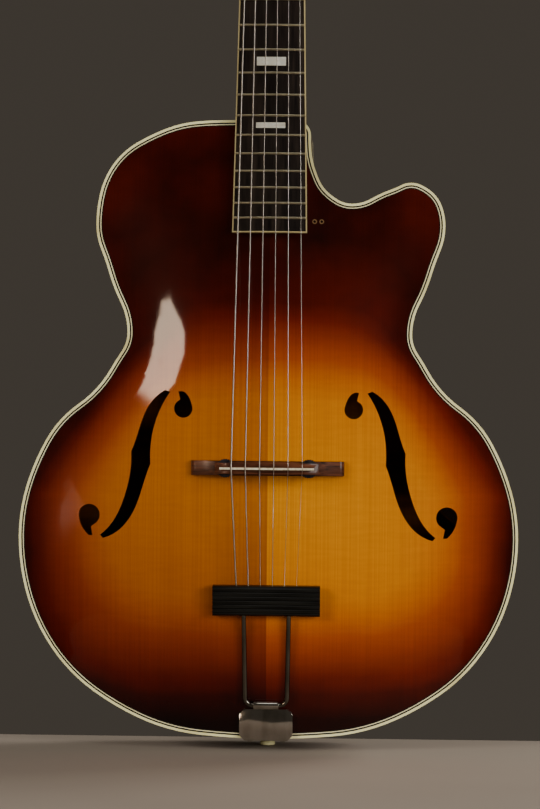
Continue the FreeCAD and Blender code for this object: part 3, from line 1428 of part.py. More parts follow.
def slotted_screw(kind):
    """A round-headed, slotted wood screw; its seat is at zero and its head above."""
    size = "sizes.%s_" % kind
    blank = turned(kind + "_blank", [
        ("0", "-" + size + "length"),
        (size + "shank / 2 - " + size + "edge", "-" + size + "length"),
        (size + "shank / 2", "-" + size + "length + " + size + "shank"),
        (size + "shank / 2", "0"),
        (size + "head / 2", "0"),
        (size + "head / 2", size + "edge"),
        (size + "shank / 2", size + "head_height"),
        ("0", size + "head_height"),
    ])
    head = number(size + "head")
    height = number(size + "head_height")
    half_slot = number(size + "slot") / 2
    slot = block(-head, head, -half_slot, half_slot, height / 2, 2 * height)
    return blank.Shape.cut(slot)


head_screws = plate_screws + cover_screws
feature("small_screws", copies(slotted_screw("small_screw"), head_screws), head_place)
feature("bracket_screws", copies(slotted_screw("bracket_screw"), bracket_screw_places))
nodes["neck"].Shape = nodes["neck"].Shape.cut([placed(shank_hole(place), head_place) for place in head_screws])
nodes["headstock_veneer"].Shape = placed(
    nodes["headstock_veneer"].Shape.cut([placed(shank_hole(place), head_place) for place in cover_screws]),
    FreeCAD.Placement())

# Strings: each is one wire from its ball end, over the saddle and the nut, to its turns on the post

for count in string_numbers:
    side, row = post_rows[count]
    radius = string_radius(count)
    start = ball_point(count) + tail_way(count) * (s.ball_length / 2)
    entry, way = winding_entry(count)
    entry_world = head_place.multVec(entry)
    way_world = head_place.Rotation.multVec(way)
    edges = []
    here = start
    corners = [start, saddle_point(count), nut_point(count), entry_world]
    for before, corner, after in zip(corners, corners[1:], corners[2:]):
        arrive = (corner - before).normalize()
        leave = (after - corner).normalize()
        first = corner - arrive * s.string_bend
        last = corner + leave * s.string_bend
        edges.append(Part.LineSegment(here, first).toShape())
        edges.append(arc_edge(first, arrive, last))
        here = last
    edges.append(Part.LineSegment(here, entry_world).toShape())
    wound_radius = post_radius(count)
    pitch = 2 * radius + s.winding_gap
    centre = post_spot(count)
    first_turn = math.atan2(entry.z - centre.z, entry.x - centre.x)
    slope = math.atan2(pitch, 2 * math.pi * wound_radius)
    before, before_tangent = entry, way
    turn_points = []
    for quarter in range(1, 4 * int(s.winding_turns) + 1):
        turn = first_turn - side * quarter * math.pi / 2
        point = V(centre.x + wound_radius * math.cos(turn), entry.y - pitch * quarter / 4,
                  centre.z + wound_radius * math.sin(turn))
        tangent = V(side * math.sin(turn) * math.cos(slope), -math.sin(slope),
                    -side * math.cos(turn) * math.cos(slope))
        for first, first_tangent, last, last_tangent in biarc(before, before_tangent, point, tangent):
            arc = arc_edge(head_place.multVec(first), head_place.Rotation.multVec(first_tangent),
                           head_place.multVec(last))
            edges.append(arc)
            turn_points += arc.discretize(Number=s.winding_samples)
        before, before_tangent = point, tangent
    one_turn = len(turn_points) // int(s.winding_turns)
    least = min((turn_points[a] - turn_points[b]).Length
                for a in range(len(turn_points)) for b in range(a + one_turn // 2, len(turn_points)))
    print("string %d: least gap between its turns %.2f mm" % (count, least - 2 * radius))
    path = Part.Wire(edges)
    section = Part.Wire(Part.makeCircle(radius, start, tail_way(count)))
    wire = path.makePipeShell([section], True, False)
    print("string %d: volume against section times length %.4f"
          % (count, wire.Volume / (path.Length * math.pi * radius ** 2)))
    ball_start = ball_point(count) - tail_way(count) * (s.ball_length / 2)
    ball = Part.makeCylinder(s.ball_diameter / 2, s.ball_length, ball_start, tail_way(count))
    feature("string_%d" % count, Part.makeCompound([wire, ball]))

# Every object has to be sound before anything is written

doc.recompute()
for obj in doc.Objects:
    if "Invalid" in obj.State or "Error" in obj.State:
        raise RuntimeError("%s failed: %s" % (obj.Label, obj.State))
for label, obj in nodes.items():
    if obj.Shape.isNull() or not obj.Shape.isValid() or not obj.Shape.Solids:
        raise RuntimeError("%s has no sound solid" % label)
for label, obj in nodes.items():
    obj.Shape.exportStep("parts/%s.step" % label)
print("%d sub-parts" % len(nodes))
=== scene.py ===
import json
import math

import bpy
from mathutils import Matrix, Quaternion, Vector

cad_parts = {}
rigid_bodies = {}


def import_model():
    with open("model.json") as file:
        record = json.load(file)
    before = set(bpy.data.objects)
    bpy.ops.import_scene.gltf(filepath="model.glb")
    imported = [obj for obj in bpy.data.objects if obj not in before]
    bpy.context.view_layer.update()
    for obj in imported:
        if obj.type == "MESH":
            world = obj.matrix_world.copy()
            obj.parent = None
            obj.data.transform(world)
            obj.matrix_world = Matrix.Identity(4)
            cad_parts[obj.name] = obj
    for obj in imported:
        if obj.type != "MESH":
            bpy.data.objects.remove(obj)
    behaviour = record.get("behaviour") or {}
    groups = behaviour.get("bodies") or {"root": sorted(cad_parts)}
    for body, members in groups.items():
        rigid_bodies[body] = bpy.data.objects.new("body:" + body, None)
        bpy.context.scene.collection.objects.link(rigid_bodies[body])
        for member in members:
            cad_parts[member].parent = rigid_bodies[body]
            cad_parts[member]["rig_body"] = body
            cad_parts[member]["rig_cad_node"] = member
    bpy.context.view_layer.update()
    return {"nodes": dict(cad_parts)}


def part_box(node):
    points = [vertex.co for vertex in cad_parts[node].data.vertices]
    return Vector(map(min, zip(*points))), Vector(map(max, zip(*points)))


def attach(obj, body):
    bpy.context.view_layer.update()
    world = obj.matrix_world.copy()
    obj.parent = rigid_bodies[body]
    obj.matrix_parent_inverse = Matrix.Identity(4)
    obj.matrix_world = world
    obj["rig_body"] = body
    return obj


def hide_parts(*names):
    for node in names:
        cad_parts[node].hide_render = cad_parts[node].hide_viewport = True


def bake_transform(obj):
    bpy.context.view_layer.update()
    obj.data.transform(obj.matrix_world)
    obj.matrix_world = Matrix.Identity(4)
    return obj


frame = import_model()

# Camera
# It stands about two and a half metres in front of the top, level with the middle of the sound
# box and a little to the treble side, with a long lens and a very small roll.
camera_place = Vector((0.0852, -2.5416, 0.2856))
camera_turn = math.radians(1.933)
camera_roll = math.radians(0.52)
lens_mm = 201.7
sensor_mm = 36.0
camera_far = 20.0
ahead = Vector((-math.sin(camera_turn), math.cos(camera_turn), 0.0))
level = Vector((math.cos(camera_turn), math.sin(camera_turn), 0.0))
upright = Vector((0.0, 0.0, 1.0))
camera_right = level * math.cos(camera_roll) + upright * math.sin(camera_roll)
camera_up = upright * math.cos(camera_roll) - level * math.sin(camera_roll)
bpy.ops.object.select_all(action="DESELECT")
bpy.ops.object.camera_add()
camera = bpy.context.object
camera.matrix_world = Matrix.Translation(camera_place) @ Matrix(
    (camera_right, camera_up, -ahead)).transposed().to_4x4()
camera.data.sensor_fit = "HORIZONTAL"
camera.data.sensor_width = sensor_mm
camera.data.lens = lens_mm
camera.data.clip_end = camera_far
bpy.context.scene.camera = camera

# Studio light
# Wide soft lamps on both sides and near the camera light the wood. A narrow upright lamp draws the
# long streak in the lacquer, one overhead the lines on the frets, and one behind lights the back.
warm_white = (1.0, 0.96, 0.90)
streak_pink = (1.0, 0.74, 0.53)
surround_brown = (0.053, 0.045, 0.036)


def soft_lamp(name, place, aim, width, height, watts, colour=warm_white, lean=0.0):
    """A rectangular soft lamp that faces a point; lean turns it about its own axis."""
    facing = (Vector(aim) - Vector(place)).to_track_quat("-Z", "Y")
    facing = facing @ Quaternion((0.0, 0.0, 1.0), lean)
    bpy.ops.object.light_add(type="AREA", location=place, rotation=facing.to_euler())
    lamp = bpy.context.object
    lamp.name = name
    lamp.data.shape = "RECTANGLE"
    lamp.data.size = width
    lamp.data.size_y = height
    lamp.data.energy = watts
    lamp.data.color = colour
    return lamp


body_middle = (0.0, -0.05, 0.28)
bass_waist = (-0.085, -0.05, 0.338)
streak_lean = math.radians(-10.0)
soft_lamp("key_lamp", place=(2.2, -2.2, 0.85), aim=body_middle, width=1.2, height=1.2, watts=56.0)
soft_lamp("back_lamp", place=(2.4, 1.5, 1.20), aim=body_middle, width=1.2, height=1.2, watts=62.0)
bass_lamp = soft_lamp("bass_lamp", place=(-1.9, -1.9, 1.0), aim=body_middle,
                      width=1.0, height=1.0, watts=38.0)
front_lamp = soft_lamp("front_lamp", place=(1.0, -2.5, 0.20), aim=body_middle,
                       width=0.8, height=0.8, watts=13.0)
streak_lamp = soft_lamp("streak_lamp", place=(-1.183, -1.952, 0.448), aim=bass_waist,
                        width=0.15, height=0.77, watts=9.3, colour=streak_pink, lean=streak_lean)
over_lamp = soft_lamp("over_lamp", place=(0.0, -1.5, 2.3), aim=body_middle,
                      width=1.6, height=0.7, watts=6.0)
for lamp in (bass_lamp, front_lamp):
    lamp.visible_glossy = False
for lamp in (streak_lamp, over_lamp):
    lamp.visible_diffuse = False
world = bpy.data.worlds.new("dim_surround")
world.use_nodes = True
world.node_tree.nodes["Background"].inputs["Color"].default_value = (*surround_brown, 1.0)
world.node_tree.nodes["Background"].inputs["Strength"].default_value = 1.0
bpy.context.scene.world = world

# Floor
# A plain pale board under the end pin. It is painted matt and carries a very faint mottle.


def new_finish(name, metallic=0.0, coat=0.0, coat_roughness=0.04, shine=0.5, roughness=0.5):
    """A material with one Principled shader; what is the same all over sits on its own sockets."""
    finish = bpy.data.materials.new(name)
    finish.use_nodes = True
    shader = finish.node_tree.nodes["Principled BSDF"]
    shader.inputs["Roughness"].default_value = roughness
    shader.inputs["Metallic"].default_value = metallic
    shader.inputs["Specular IOR Level"].default_value = shine
    shader.inputs["Coat Weight"].default_value = coat
    shader.inputs["Coat Roughness"].default_value = coat_roughness
    return finish


def feed(finish, socket, value):
    """Links a node's output into a socket, or sets a plain value on it."""
    if isinstance(value, bpy.types.NodeSocket):
        finish.node_tree.links.new(value, socket)
    else:
        socket.default_value = value


def shader_node(finish, kind, **sockets):
    """A node of one kind with its sockets filled by name."""
    made = finish.node_tree.nodes.new("ShaderNode" + kind)
    for name, value in sockets.items():
        feed(finish, made.inputs[name.replace("_", " ")], value)
    return made


def stretched(finish, scale, location=(0.0, 0.0, 0.0), rotation=(0.0, 0.0, 0.0)):
    """Object coordinates, stretched, turned and moved for a pattern."""
    place = shader_node(finish, "TexCoord").outputs["Object"]
    mapping = shader_node(finish, "Mapping", Vector=place, Scale=scale, Location=location,
                          Rotation=rotation)
    return mapping.outputs["Vector"]


def mottle(finish, per_metre, detail=3.0, distortion=0.0, rotation=(0.0, 0.0, 0.0)):
    """Cloudy noise from 0 to 1, with so many clouds to a metre along each axis."""
    place = stretched(finish, per_metre, rotation=rotation)
    return shader_node(finish, "TexNoise", Vector=place, Scale=1.0, Detail=detail,
                       Distortion=distortion).outputs["Fac"]


def ramp(finish, value, stops):
    """Colours along a value, as (position, colour) stops."""
    made = shader_node(finish, "ValToRGB", Fac=value)
    elements = made.color_ramp.elements
    while len(elements) < len(stops):
        elements.new(1.0)
    for element, (position, colour) in zip(elements, stops):
        element.position = position
        element.color = (*colour, 1.0)
    return made.outputs["Color"]


def coloured(finish, colour):
    """Base colour that a node gives."""
    feed(finish, finish.node_tree.nodes["Principled BSDF"].inputs["Base Color"], colour)


def tinted(finish, value, stops):
    """Base colour that runs through stops with a value."""
    coloured(finish, ramp(finish, value, stops))


floor_paint = new_finish("floor_paint", roughness=0.85)
floor_cloud = mottle(floor_paint, per_metre=(3.0, 3.0, 3.0))
tinted(floor_paint, floor_cloud, [(0.3, (0.34, 0.287, 0.235)), (0.7, (0.38, 0.322, 0.265))])
floor_width = 2.6
floor_front = -0.43
floor_back = 0.06
floor_depth = floor_back - floor_front
floor_middle = (floor_back + floor_front) / 2
floor_drop = 0.001
bpy.ops.mesh.primitive_plane_add(size=1.0, location=(0.0, floor_middle, -floor_drop))
floor = bpy.context.object
floor.name = "floor"
floor.scale = (floor_width, floor_depth, 1.0)
bpy.ops.object.transform_apply(location=True, rotation=True, scale=True)
floor.data.materials.append(floor_paint)

# Top plate
# A carved spruce top, stained from amber in the middle of the lower bout through red to nearly
# black at its edge and under the neck, and sprayed with gloss lacquer.


def dress(finish, *names):
    """Gives solids of the frame their finish."""
    for name in names:
        solid = frame["nodes"][name]
        if not solid.material_slots:
            solid.data.materials.append(finish)
        for row in solid.material_slots:
            row.material = finish


def worked(finish, operation, *values):
    """A sum on one or two values."""
    made = shader_node(finish, "Math")
    made.operation = operation
    for socket, value in zip(made.inputs, values):
        feed(finish, socket, value)
    return made.outputs["Value"]


white = (1.0, 1.0, 1.0)
black = (0.0, 0.0, 0.0)
unstretched = (1.0, 1.0, 1.0)
mix_share = 0
mix_first_colour = 6
mix_second_colour = 7
mix_colour_result = 2


def mixed(finish, share, first, second, kind="MIX"):
    """Two colours laid over each other, by the colour sockets among all those of a Mix node."""
    made = shader_node(finish, "Mix")
    made.data_type = "RGBA"
    made.blend_type = kind
    feed(finish, made.inputs[mix_share], share)
    for index, colour in ((mix_first_colour, first), (mix_second_colour, second)):
        plain = not isinstance(colour, bpy.types.NodeSocket)
        feed(finish, made.inputs[index], (*colour, 1.0) if plain else colour)
    return made.outputs[mix_colour_result]


def roughened(finish, value, low, high):
    """Roughness that runs from low to high with a value."""
    made = shader_node(finish, "MapRange", Value=value, To_Min=low, To_Max=high)
    feed(finish, finish.node_tree.nodes["Principled BSDF"].inputs["Roughness"], made.outputs["Result"])


def bumped(finish, height, strength, distance):
    """A fine relief in the surface."""
    made = shader_node(finish, "Bump", Height=height, Strength=strength, Distance=distance)
    feed(finish, finish.node_tree.nodes["Principled BSDF"].inputs["Normal"], made.outputs["Normal"])


burst_middle = Vector((0.0, 0.0, 0.210))
burst_width = 0.188
burst_least_width = 0.110
burst_shoulder = 0.60
burst_height = 0.146
burst_drop = 1.03
burst_squareness = 3.0
burst_side_steepness = 1.75
burst_wobble = 0.055
burst_edge_stop = 0.5


def burst_distance(finish, height):
    """How far out a place lies in the stained oval, which is squarish and narrows upwards."""
    offset = stretched(finish, unstretched, -burst_middle)
    parts = shader_node(finish, "SeparateXYZ", Vector=offset).outputs
    above = worked(finish, "MAXIMUM", parts["Z"], 0.0)
    width = worked(finish, "SUBTRACT", burst_width, worked(finish, "MULTIPLY", above, burst_shoulder))
    width = worked(finish, "MAXIMUM", width, burst_least_width)
    across = worked(finish, "ABSOLUTE", worked(finish, "DIVIDE", parts["X"], width))
    along = worked(finish, "MAXIMUM", worked(finish, "DIVIDE", parts["Z"], height),
                   worked(finish, "DIVIDE", parts["Z"], -height * burst_drop))
    sideways = worked(finish, "POWER", across, burst_squareness * burst_side_steepness)
    total = worked(finish, "ADD", sideways, worked(finish, "POWER", along, burst_squareness))
    reach = worked(finish, "POWER", total, 1 / burst_squareness)
    cloud = mottle(finish, per_metre=(14.0, 14.0, 9.0))
    lean = shader_node(finish, "MapRange", Value=cloud, To_Min=-burst_wobble, To_Max=burst_wobble)
    reach = worked(finish, "ADD", reach, lean.outputs["Result"])
    return worked(finish, "MULTIPLY", reach, burst_edge_stop)


spruce_lacquer = new_finish("sunburst_spruce", coat=0.55, coat_roughness=0.05, shine=0.03)
reach = burst_distance(spruce_lacquer, burst_height)
stain = ramp(spruce_lacquer, reach, [
    (0.00, (0.715, 0.268, 0.0006)), (0.27, (0.615, 0.197, 0.0006)), (0.33, (0.52, 0.132, 0.0006)),
    (0.385, (0.36, 0.058, 0.0006)), (0.44, (0.25, 0.029, 0.0006)), (0.50, (0.125, 0.0085, 0.0006)),
    (0.55, (0.056, 0.0034, 0.0006)), (0.62, (0.043, 0.0028, 0.0006)), (0.72, (0.026, 0.0022, 0.0006)),
    (1.0, (0.055, 0.0034, 0.0006)),
])
# The bass half of the bookmatched top has a darker tone of its own, and painted shade makes it darker
# still towards the bottom of the body.
bass_painted_shade_low = 0.14
bass_painted_shade_high = 0.28
edge_painted_shade_none = 0.24
edge_painted_shade_full = 0.15
spruce_spot = stretched(spruce_lacquer, unstretched)
spruce_place = shader_node(spruce_lacquer, "SeparateXYZ", Vector=spruce_spot).outputs
seam = worked(spruce_lacquer, "GREATER_THAN", spruce_place["X"], 0.0)
bass_painted_shade_height = shader_node(spruce_lacquer, "MapRange", Value=spruce_place["Z"],
                          From_Min=bass_painted_shade_low, From_Max=bass_painted_shade_high)
bass_tone_and_painted_shade = ramp(spruce_lacquer, bass_painted_shade_height.outputs["Result"], [
    (0.0, (0.57, 0.44, 0.50)), (1.0, (0.72, 0.61, 0.50))])
half_tone_and_painted_shade = mixed(spruce_lacquer, seam, bass_tone_and_painted_shade, white)
# Painted shade: towards the bottom of the body the outer, darkest part of the stain is darkened further
# still.
lower_painted_shade_share = shader_node(spruce_lacquer, "MapRange", Value=spruce_place["Z"],
                         From_Min=edge_painted_shade_none, From_Max=edge_painted_shade_full)
edge_painted_shade = ramp(spruce_lacquer, reach, [(0.53, white), (0.62, (0.20, 0.17, 0.15))])
lower_edge_painted_shade = mixed(spruce_lacquer, lower_painted_shade_share.outputs["Result"], white, edge_painted_shade)
grain_lines = mottle(spruce_lacquer, per_metre=(980.0, 60.0, 5.0), detail=2.0)
grain_bands = mottle(spruce_lacquer, per_metre=(90.0, 20.0, 1.2), detail=2.0)
cross_silk = mottle(spruce_lacquer, per_metre=(45.0, 30.0, 330.0), detail=2.0)
line_shade = ramp(spruce_lacquer, grain_lines, [(0.36, (0.90, 0.85, 0.77)), (0.60, white)])
band_shade = ramp(spruce_lacquer, grain_bands, [(0.30, (0.96, 0.945, 0.92)), (0.65, white)])
silk_shade = ramp(spruce_lacquer, cross_silk, [(0.35, (0.95, 0.93, 0.90)), (0.65, white)])
stain_cloud = mottle(spruce_lacquer, per_metre=(15.0, 15.0, 15.0))
cloud_shade = ramp(spruce_lacquer, stain_cloud, [(0.36, (0.50, 0.46, 0.60)), (0.64, (1.40, 1.25, 1.0))])
dark_share = ramp(spruce_lacquer, reach, [(0.46, black), (0.58, white)])
dark_clouds = mixed(spruce_lacquer, dark_share, white, cloud_shade)
spruce_colour = stain
for shade in (half_tone_and_painted_shade, lower_edge_painted_shade, dark_clouds, line_shade, band_shade, silk_shade):
    spruce_colour = mixed(spruce_lacquer, 1.0, spruce_colour, shade, "MULTIPLY")
screw_hole_spots = (0.0365, 0.0423)
screw_hole_rise = 0.4274
screw_hole_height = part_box("bass_rim")[0][2] + screw_hole_rise
worn_reach = 0.004
worn_wood = (0.34, 0.19, 0.085)
for spot in screw_hole_spots:
    near = stretched(spruce_lacquer, (1 / worn_reach, 0.0, 1 / worn_reach),
                     (-spot / worn_reach, 0.0, -screw_hole_height / worn_reach))
    apart = shader_node(spruce_lacquer, "VectorMath", Vector=near)
    apart.operation = "LENGTH"
    worn_ring = ramp(spruce_lacquer, apart.outputs["Value"], [
        (0.24, black), (0.32, (0.8, 0.8, 0.8)), (0.44, (0.5, 0.5, 0.5)), (0.55, black)])
    spruce_colour = mixed(spruce_lacquer, worn_ring, spruce_colour, worn_wood)
coloured(spruce_lacquer, spruce_colour)
lacquer_dust = mottle(spruce_lacquer, per_metre=(40.0, 40.0, 40.0), detail=5.0)
roughened(spruce_lacquer, lacquer_dust, low=0.30, high=0.46)
bumped(spruce_lacquer, grain_lines, strength=0.03, distance=0.0003)
dress(spruce_lacquer, "top_plate")

# Back plate and rims
# The back is carved from flamed maple and the two rims are bent from it. They meet over the end
# pin, are stained like the top, and are glued round the blocks.


def shaded(finish, colour, value, stops, share=1.0):
    """A colour darkened by stops along a value."""
    return mixed(finish, share, colour, ramp(finish, value, stops), "MULTIPLY")


maple_back = new_finish("shaded_maple_back", coat=1.0, shine=0.05)
back_burst_share = 1.35
back_reach = burst_distance(maple_back, burst_height * back_burst_share)
back_stain = ramp(maple_back, back_reach, [
    (0.00, (0.42, 0.150, 0.018)), (0.35, (0.34, 0.098, 0.012)), (0.50, (0.16, 0.034, 0.006)),
    (0.62, (0.05, 0.010, 0.003)), (1.0, (0.022, 0.006, 0.002)),
])
flame_lean = 0.22
back_flame = mottle(maple_back, per_metre=(9.0, 9.0, 95.0), rotation=(0.0, flame_lean, 0.0), detail=2.0)
back_pores = mottle(maple_back, per_metre=(420.0, 420.0, 26.0), detail=2.0)
back_colour = shaded(maple_back, back_stain, back_pores, [
    (0.4, (0.5, 0.45, 0.4)), (0.6, white)], share=0.25)
coloured(maple_back, shaded(maple_back, back_colour, back_flame, [
    (0.35, (0.62, 0.56, 0.50)), (0.65, (1.12, 1.08, 1.0))]))
roughened(maple_back, back_pores, low=0.28, high=0.42)
bumped(maple_back, back_pores, strength=0.03, distance=0.0003)
dress(maple_back, "back_plate")

maple_rim = new_finish("shaded_maple_rims", coat=1.0, shine=0.05)
rim_flame = mottle(maple_rim, per_metre=(60.0, 6.0, 60.0), detail=2.0)
rim_cloud = mottle(maple_rim, per_metre=(6.0, 30.0, 6.0))
rim_colour = ramp(maple_rim, rim_flame, [(0.32, (0.095, 0.026, 0.006)), (0.68, (0.245, 0.082, 0.016))])
coloured(maple_rim, shaded(maple_rim, rim_colour, rim_cloud, [
    (0.3, (0.55, 0.50, 0.45)), (0.7, white)], share=0.8))
roughened(maple_rim, rim_cloud, low=0.28, high=0.42)
bumped(maple_rim, rim_flame, strength=0.02, distance=0.0003)
dress(maple_rim, "bass_rim", "treble_rim")

# Inside of the box
# Bare spruce and basswood: two tone bars under the top, kerfed linings round both edges, and the
# neck and tail blocks. They show only through the f-holes.
bare_spruce = new_finish("bare_spruce")
bare_grain = mottle(bare_spruce, per_metre=(260.0, 260.0, 9.0))
tinted(bare_spruce, bare_grain, [(0.32, (0.36, 0.23, 0.11)), (0.66, (0.55, 0.40, 0.22))])
roughened(bare_spruce, bare_grain, low=0.6, high=0.8)
bumped(bare_spruce, bare_grain, strength=0.15, distance=0.0005)
dress(bare_spruce, "tone_bars", "kerfed_linings", "neck_block", "tail_block")

# Bindings and purfling
# Aged cream celluloid strips are glued into rebates round both edges of the sound box, with a cream
# and black purfling inside the front one. Its black lines are drawn a touch wide and proud.
cream_binding = new_finish("aged_cream_binding", coat=0.3, shine=0.1)
cream_age = mottle(cream_binding, per_metre=(22.0, 22.0, 22.0), detail=5.0)
tinted(cream_binding, cream_age, [
    (0.28, (0.70, 0.61, 0.28)), (0.45, (0.90, 0.84, 0.43)), (0.75, (0.94, 0.90, 0.52))])
roughened(cream_binding, cream_age, low=0.40, high=0.24)
bumped(cream_binding, cream_age, strength=0.05, distance=0.0003)
dress(cream_binding, "top_binding", "back_binding")

cream_line = new_finish("cream_purfling", roughness=0.3, coat=0.3, shine=0.05)
line_age = mottle(cream_line, per_metre=(30.0, 30.0, 30.0), detail=4.0)
tinted(cream_line, line_age, [(0.3, (0.74, 0.66, 0.37)), (0.7, (0.92, 0.87, 0.56))])
dress(cream_line, "top_purfling_white")

black_line = new_finish("black_purfling", roughness=0.3, coat=0.3, shine=0.05)
black_cloud = mottle(black_line, per_metre=(60.0, 60.0, 60.0), detail=4.0)
tinted(black_line, black_cloud, [(0.3, (0.006, 0.005, 0.005)), (0.7, (0.020, 0.018, 0.016))])

merge_gap = 1e-6


def copied(source, name, finish):
    """A copy of one of the frame's solids, with its loose triangles merged."""
    bpy.ops.object.select_all(action="DESELECT")
    solid = frame["nodes"][source]
    solid.select_set(True)
    bpy.context.view_layer.objects.active = solid
    bpy.ops.object.duplicate()
    piece = bpy.context.object
    piece.name = name
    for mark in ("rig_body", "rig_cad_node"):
        del piece[mark]
    bpy.ops.object.parent_clear(type="CLEAR_KEEP_TRANSFORM")
    bpy.ops.object.mode_set(mode="EDIT")
    bpy.ops.mesh.select_all(action="SELECT")
    bpy.ops.mesh.remove_doubles(threshold=merge_gap)
    bpy.ops.object.mode_set(mode="OBJECT")
    piece.data.materials.clear()
    piece.data.materials.append(finish)
    return piece


black_lines = copied("top_purfling_black", "top_purfling_black_lines", black_line)
line_spread = 0.00017
line_proud = 0.00003
wall_normal_limit = 0.5
outward = [Vector() for vertex in black_lines.data.vertices]
for face in black_lines.data.polygons:
    if abs(face.normal.y) < wall_normal_limit:
        for index in face.vertices:
            outward[index] += face.normal * face.area
for vertex, way in zip(black_lines.data.vertices, outward):
    vertex.co += way.normalized() * line_spread - Vector((0.0, line_proud, 0.0))
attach(black_lines, "root")
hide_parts("top_purfling_black")

# Neck
# One piece of mahogany with its heel, headstock and tenon, stained dark and lacquered. The tenon
# is glued into the neck block, and a cream celluloid cap is glued on the heel.
neck_lacquer = new_finish("dark_neck_lacquer", coat=1.0, shine=0.05)
neck_grain = mottle(neck_lacquer, per_metre=(300.0, 300.0, 12.0))
neck_cloud = mottle(neck_lacquer, per_metre=(26.0, 26.0, 5.0))
neck_colour = ramp(neck_lacquer, neck_grain, [
    (0.30, (0.016, 0.006, 0.003)), (0.68, (0.070, 0.022, 0.008))])
coloured(neck_lacquer, shaded(neck_lacquer, neck_colour, neck_cloud, [
    (0.3, (0.5, 0.45, 0.42)), (0.7, white)], share=0.7))
roughened(neck_lacquer, neck_grain, low=0.27, high=0.40)
bumped(neck_lacquer, neck_grain, strength=0.05, distance=0.0003)
dress(neck_lacquer, "neck")

end_segments = 5
flat_angle = math.radians(0.3)
crease_angle = math.radians(35.0)


def round_ends(piece, radius):
    """Rounds the upright front edges at both ends of a piece that is in edit mode."""
    bpy.ops.mesh.select_all(action="DESELECT")
    bpy.ops.mesh.select_mode(type="EDGE")
    bpy.ops.object.mode_set(mode="OBJECT")
    points = [vertex.co for vertex in piece.data.vertices]
    end = max(point.x for point in points) - merge_gap
    behind = max(point.y for point in points if abs(point.x) > end) - radius
    for edge in piece.data.edges:
        ends = [points[index] for index in edge.vertices]
        edge.select = all(abs(point.x) > end and point.y < behind for point in ends)
    bpy.ops.object.mode_set(mode="EDIT")
    bpy.ops.mesh.bevel(offset=radius, segments=end_segments, affect="EDGES")


def eased(source, body, width, finish, segments=2, end_round=0.0):
    """A copy of one of the frame's solids with its sharp edges rounded over, which stands for it."""
    piece = copied(source, source + "_eased", finish)
    bpy.ops.object.mode_set(mode="EDIT")
    bpy.ops.mesh.select_all(action="SELECT")
    bpy.ops.mesh.dissolve_limited(angle_limit=flat_angle)
    if end_round:
        round_ends(piece, end_round)
    bpy.ops.object.mode_set(mode="OBJECT")
    bevel = piece.modifiers.new("eased_edges", "BEVEL")
    bevel.width = width
    bevel.segments = segments
    bevel.limit_method = "ANGLE"
    bevel.angle_limit = crease_angle
    bpy.ops.object.modifier_apply(modifier=bevel.name)
    bpy.ops.object.shade_smooth_by_angle(angle=crease_angle)
    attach(piece, body)
    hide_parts(source)


eased("heel_cap", "root", width=0.0005, finish=cream_binding)

# Headstock face
# A black veneer is glued over the headstock, and a small black plate with two screws covers the
# nut of the steel truss rod, which lies in a channel under the fretboard.
black_veneer = new_finish("black_veneer", coat=1.0, shine=0.05)
veneer_grain = mottle(black_veneer, per_metre=(240.0, 240.0, 14.0))
tinted(black_veneer, veneer_grain, [(0.3, (0.004, 0.004, 0.004)), (0.7, (0.018, 0.015, 0.013))])
roughened(black_veneer, veneer_grain, low=0.24, high=0.38)
dress(black_veneer, "headstock_veneer")

black_plastic = new_finish("black_cover_plastic")
plastic_cloud = mottle(black_plastic, per_metre=(180.0, 180.0, 180.0), detail=5.0)
tinted(black_plastic, plastic_cloud, [(0.3, (0.010, 0.010, 0.010)), (0.7, (0.026, 0.025, 0.024))])
roughened(black_plastic, plastic_cloud, low=0.18, high=0.34)
bumped(black_plastic, plastic_cloud, strength=0.04, distance=0.0002)

plain_steel = new_finish("plain_steel", metallic=1.0)
steel_cloud = mottle(plain_steel, per_metre=(300.0, 300.0, 300.0), detail=4.0)
tinted(plain_steel, steel_cloud, [(0.3, (0.38, 0.37, 0.35)), (0.7, (0.60, 0.59, 0.57))])
roughened(plain_steel, steel_cloud, low=0.28, high=0.48)
dress(plain_steel, "truss_rod")
eased("truss_rod_cover", "root", width=0.0004, finish=black_plastic)

# Fretboard
# A slab of ebony with a rounded face, bound in cream on its sides and end. Twenty nickel-silver
# frets are pressed into saw cuts, and pearl blocks are inlaid between some of them.
ebony = new_finish("oiled_ebony", shine=0.08)
ebony_grain = mottle(ebony, per_metre=(380.0, 380.0, 10.0))
ebony_streak = mottle(ebony, per_metre=(70.0, 70.0, 3.0), detail=2.0)
ebony_colour = ramp(ebony, ebony_grain, [(0.30, (0.005, 0.004, 0.004)), (0.70, (0.020, 0.015, 0.012))])
coloured(ebony, shaded(ebony, ebony_colour, ebony_streak, [
    (0.35, (0.5, 0.45, 0.42)), (0.68, (1.5, 1.3, 1.15))], share=0.6))
roughened(ebony, ebony_grain, low=0.36, high=0.54)
bumped(ebony, ebony_grain, strength=0.12, distance=0.0003)
dress(ebony, "fretboard")

board_binding = new_finish("golden_board_binding")
board_age = mottle(board_binding, per_metre=(30.0, 30.0, 12.0), detail=4.0)
tinted(board_binding, board_age, [(0.3, (0.33, 0.25, 0.105)), (0.7, (0.50, 0.41, 0.20))])
roughened(board_binding, board_age, low=0.42, high=0.26)
dress(board_binding, "fretboard_binding")

fret_wire = new_finish("worn_fret_wire", metallic=1.0)
fret_wear = mottle(fret_wire, per_metre=(160.0, 900.0, 900.0))
tinted(fret_wire, fret_wear, [(0.3, (0.54, 0.48, 0.32)), (0.7, (0.72, 0.66, 0.46))])
roughened(fret_wire, fret_wear, low=0.34, high=0.26)
dress(fret_wire, "frets")

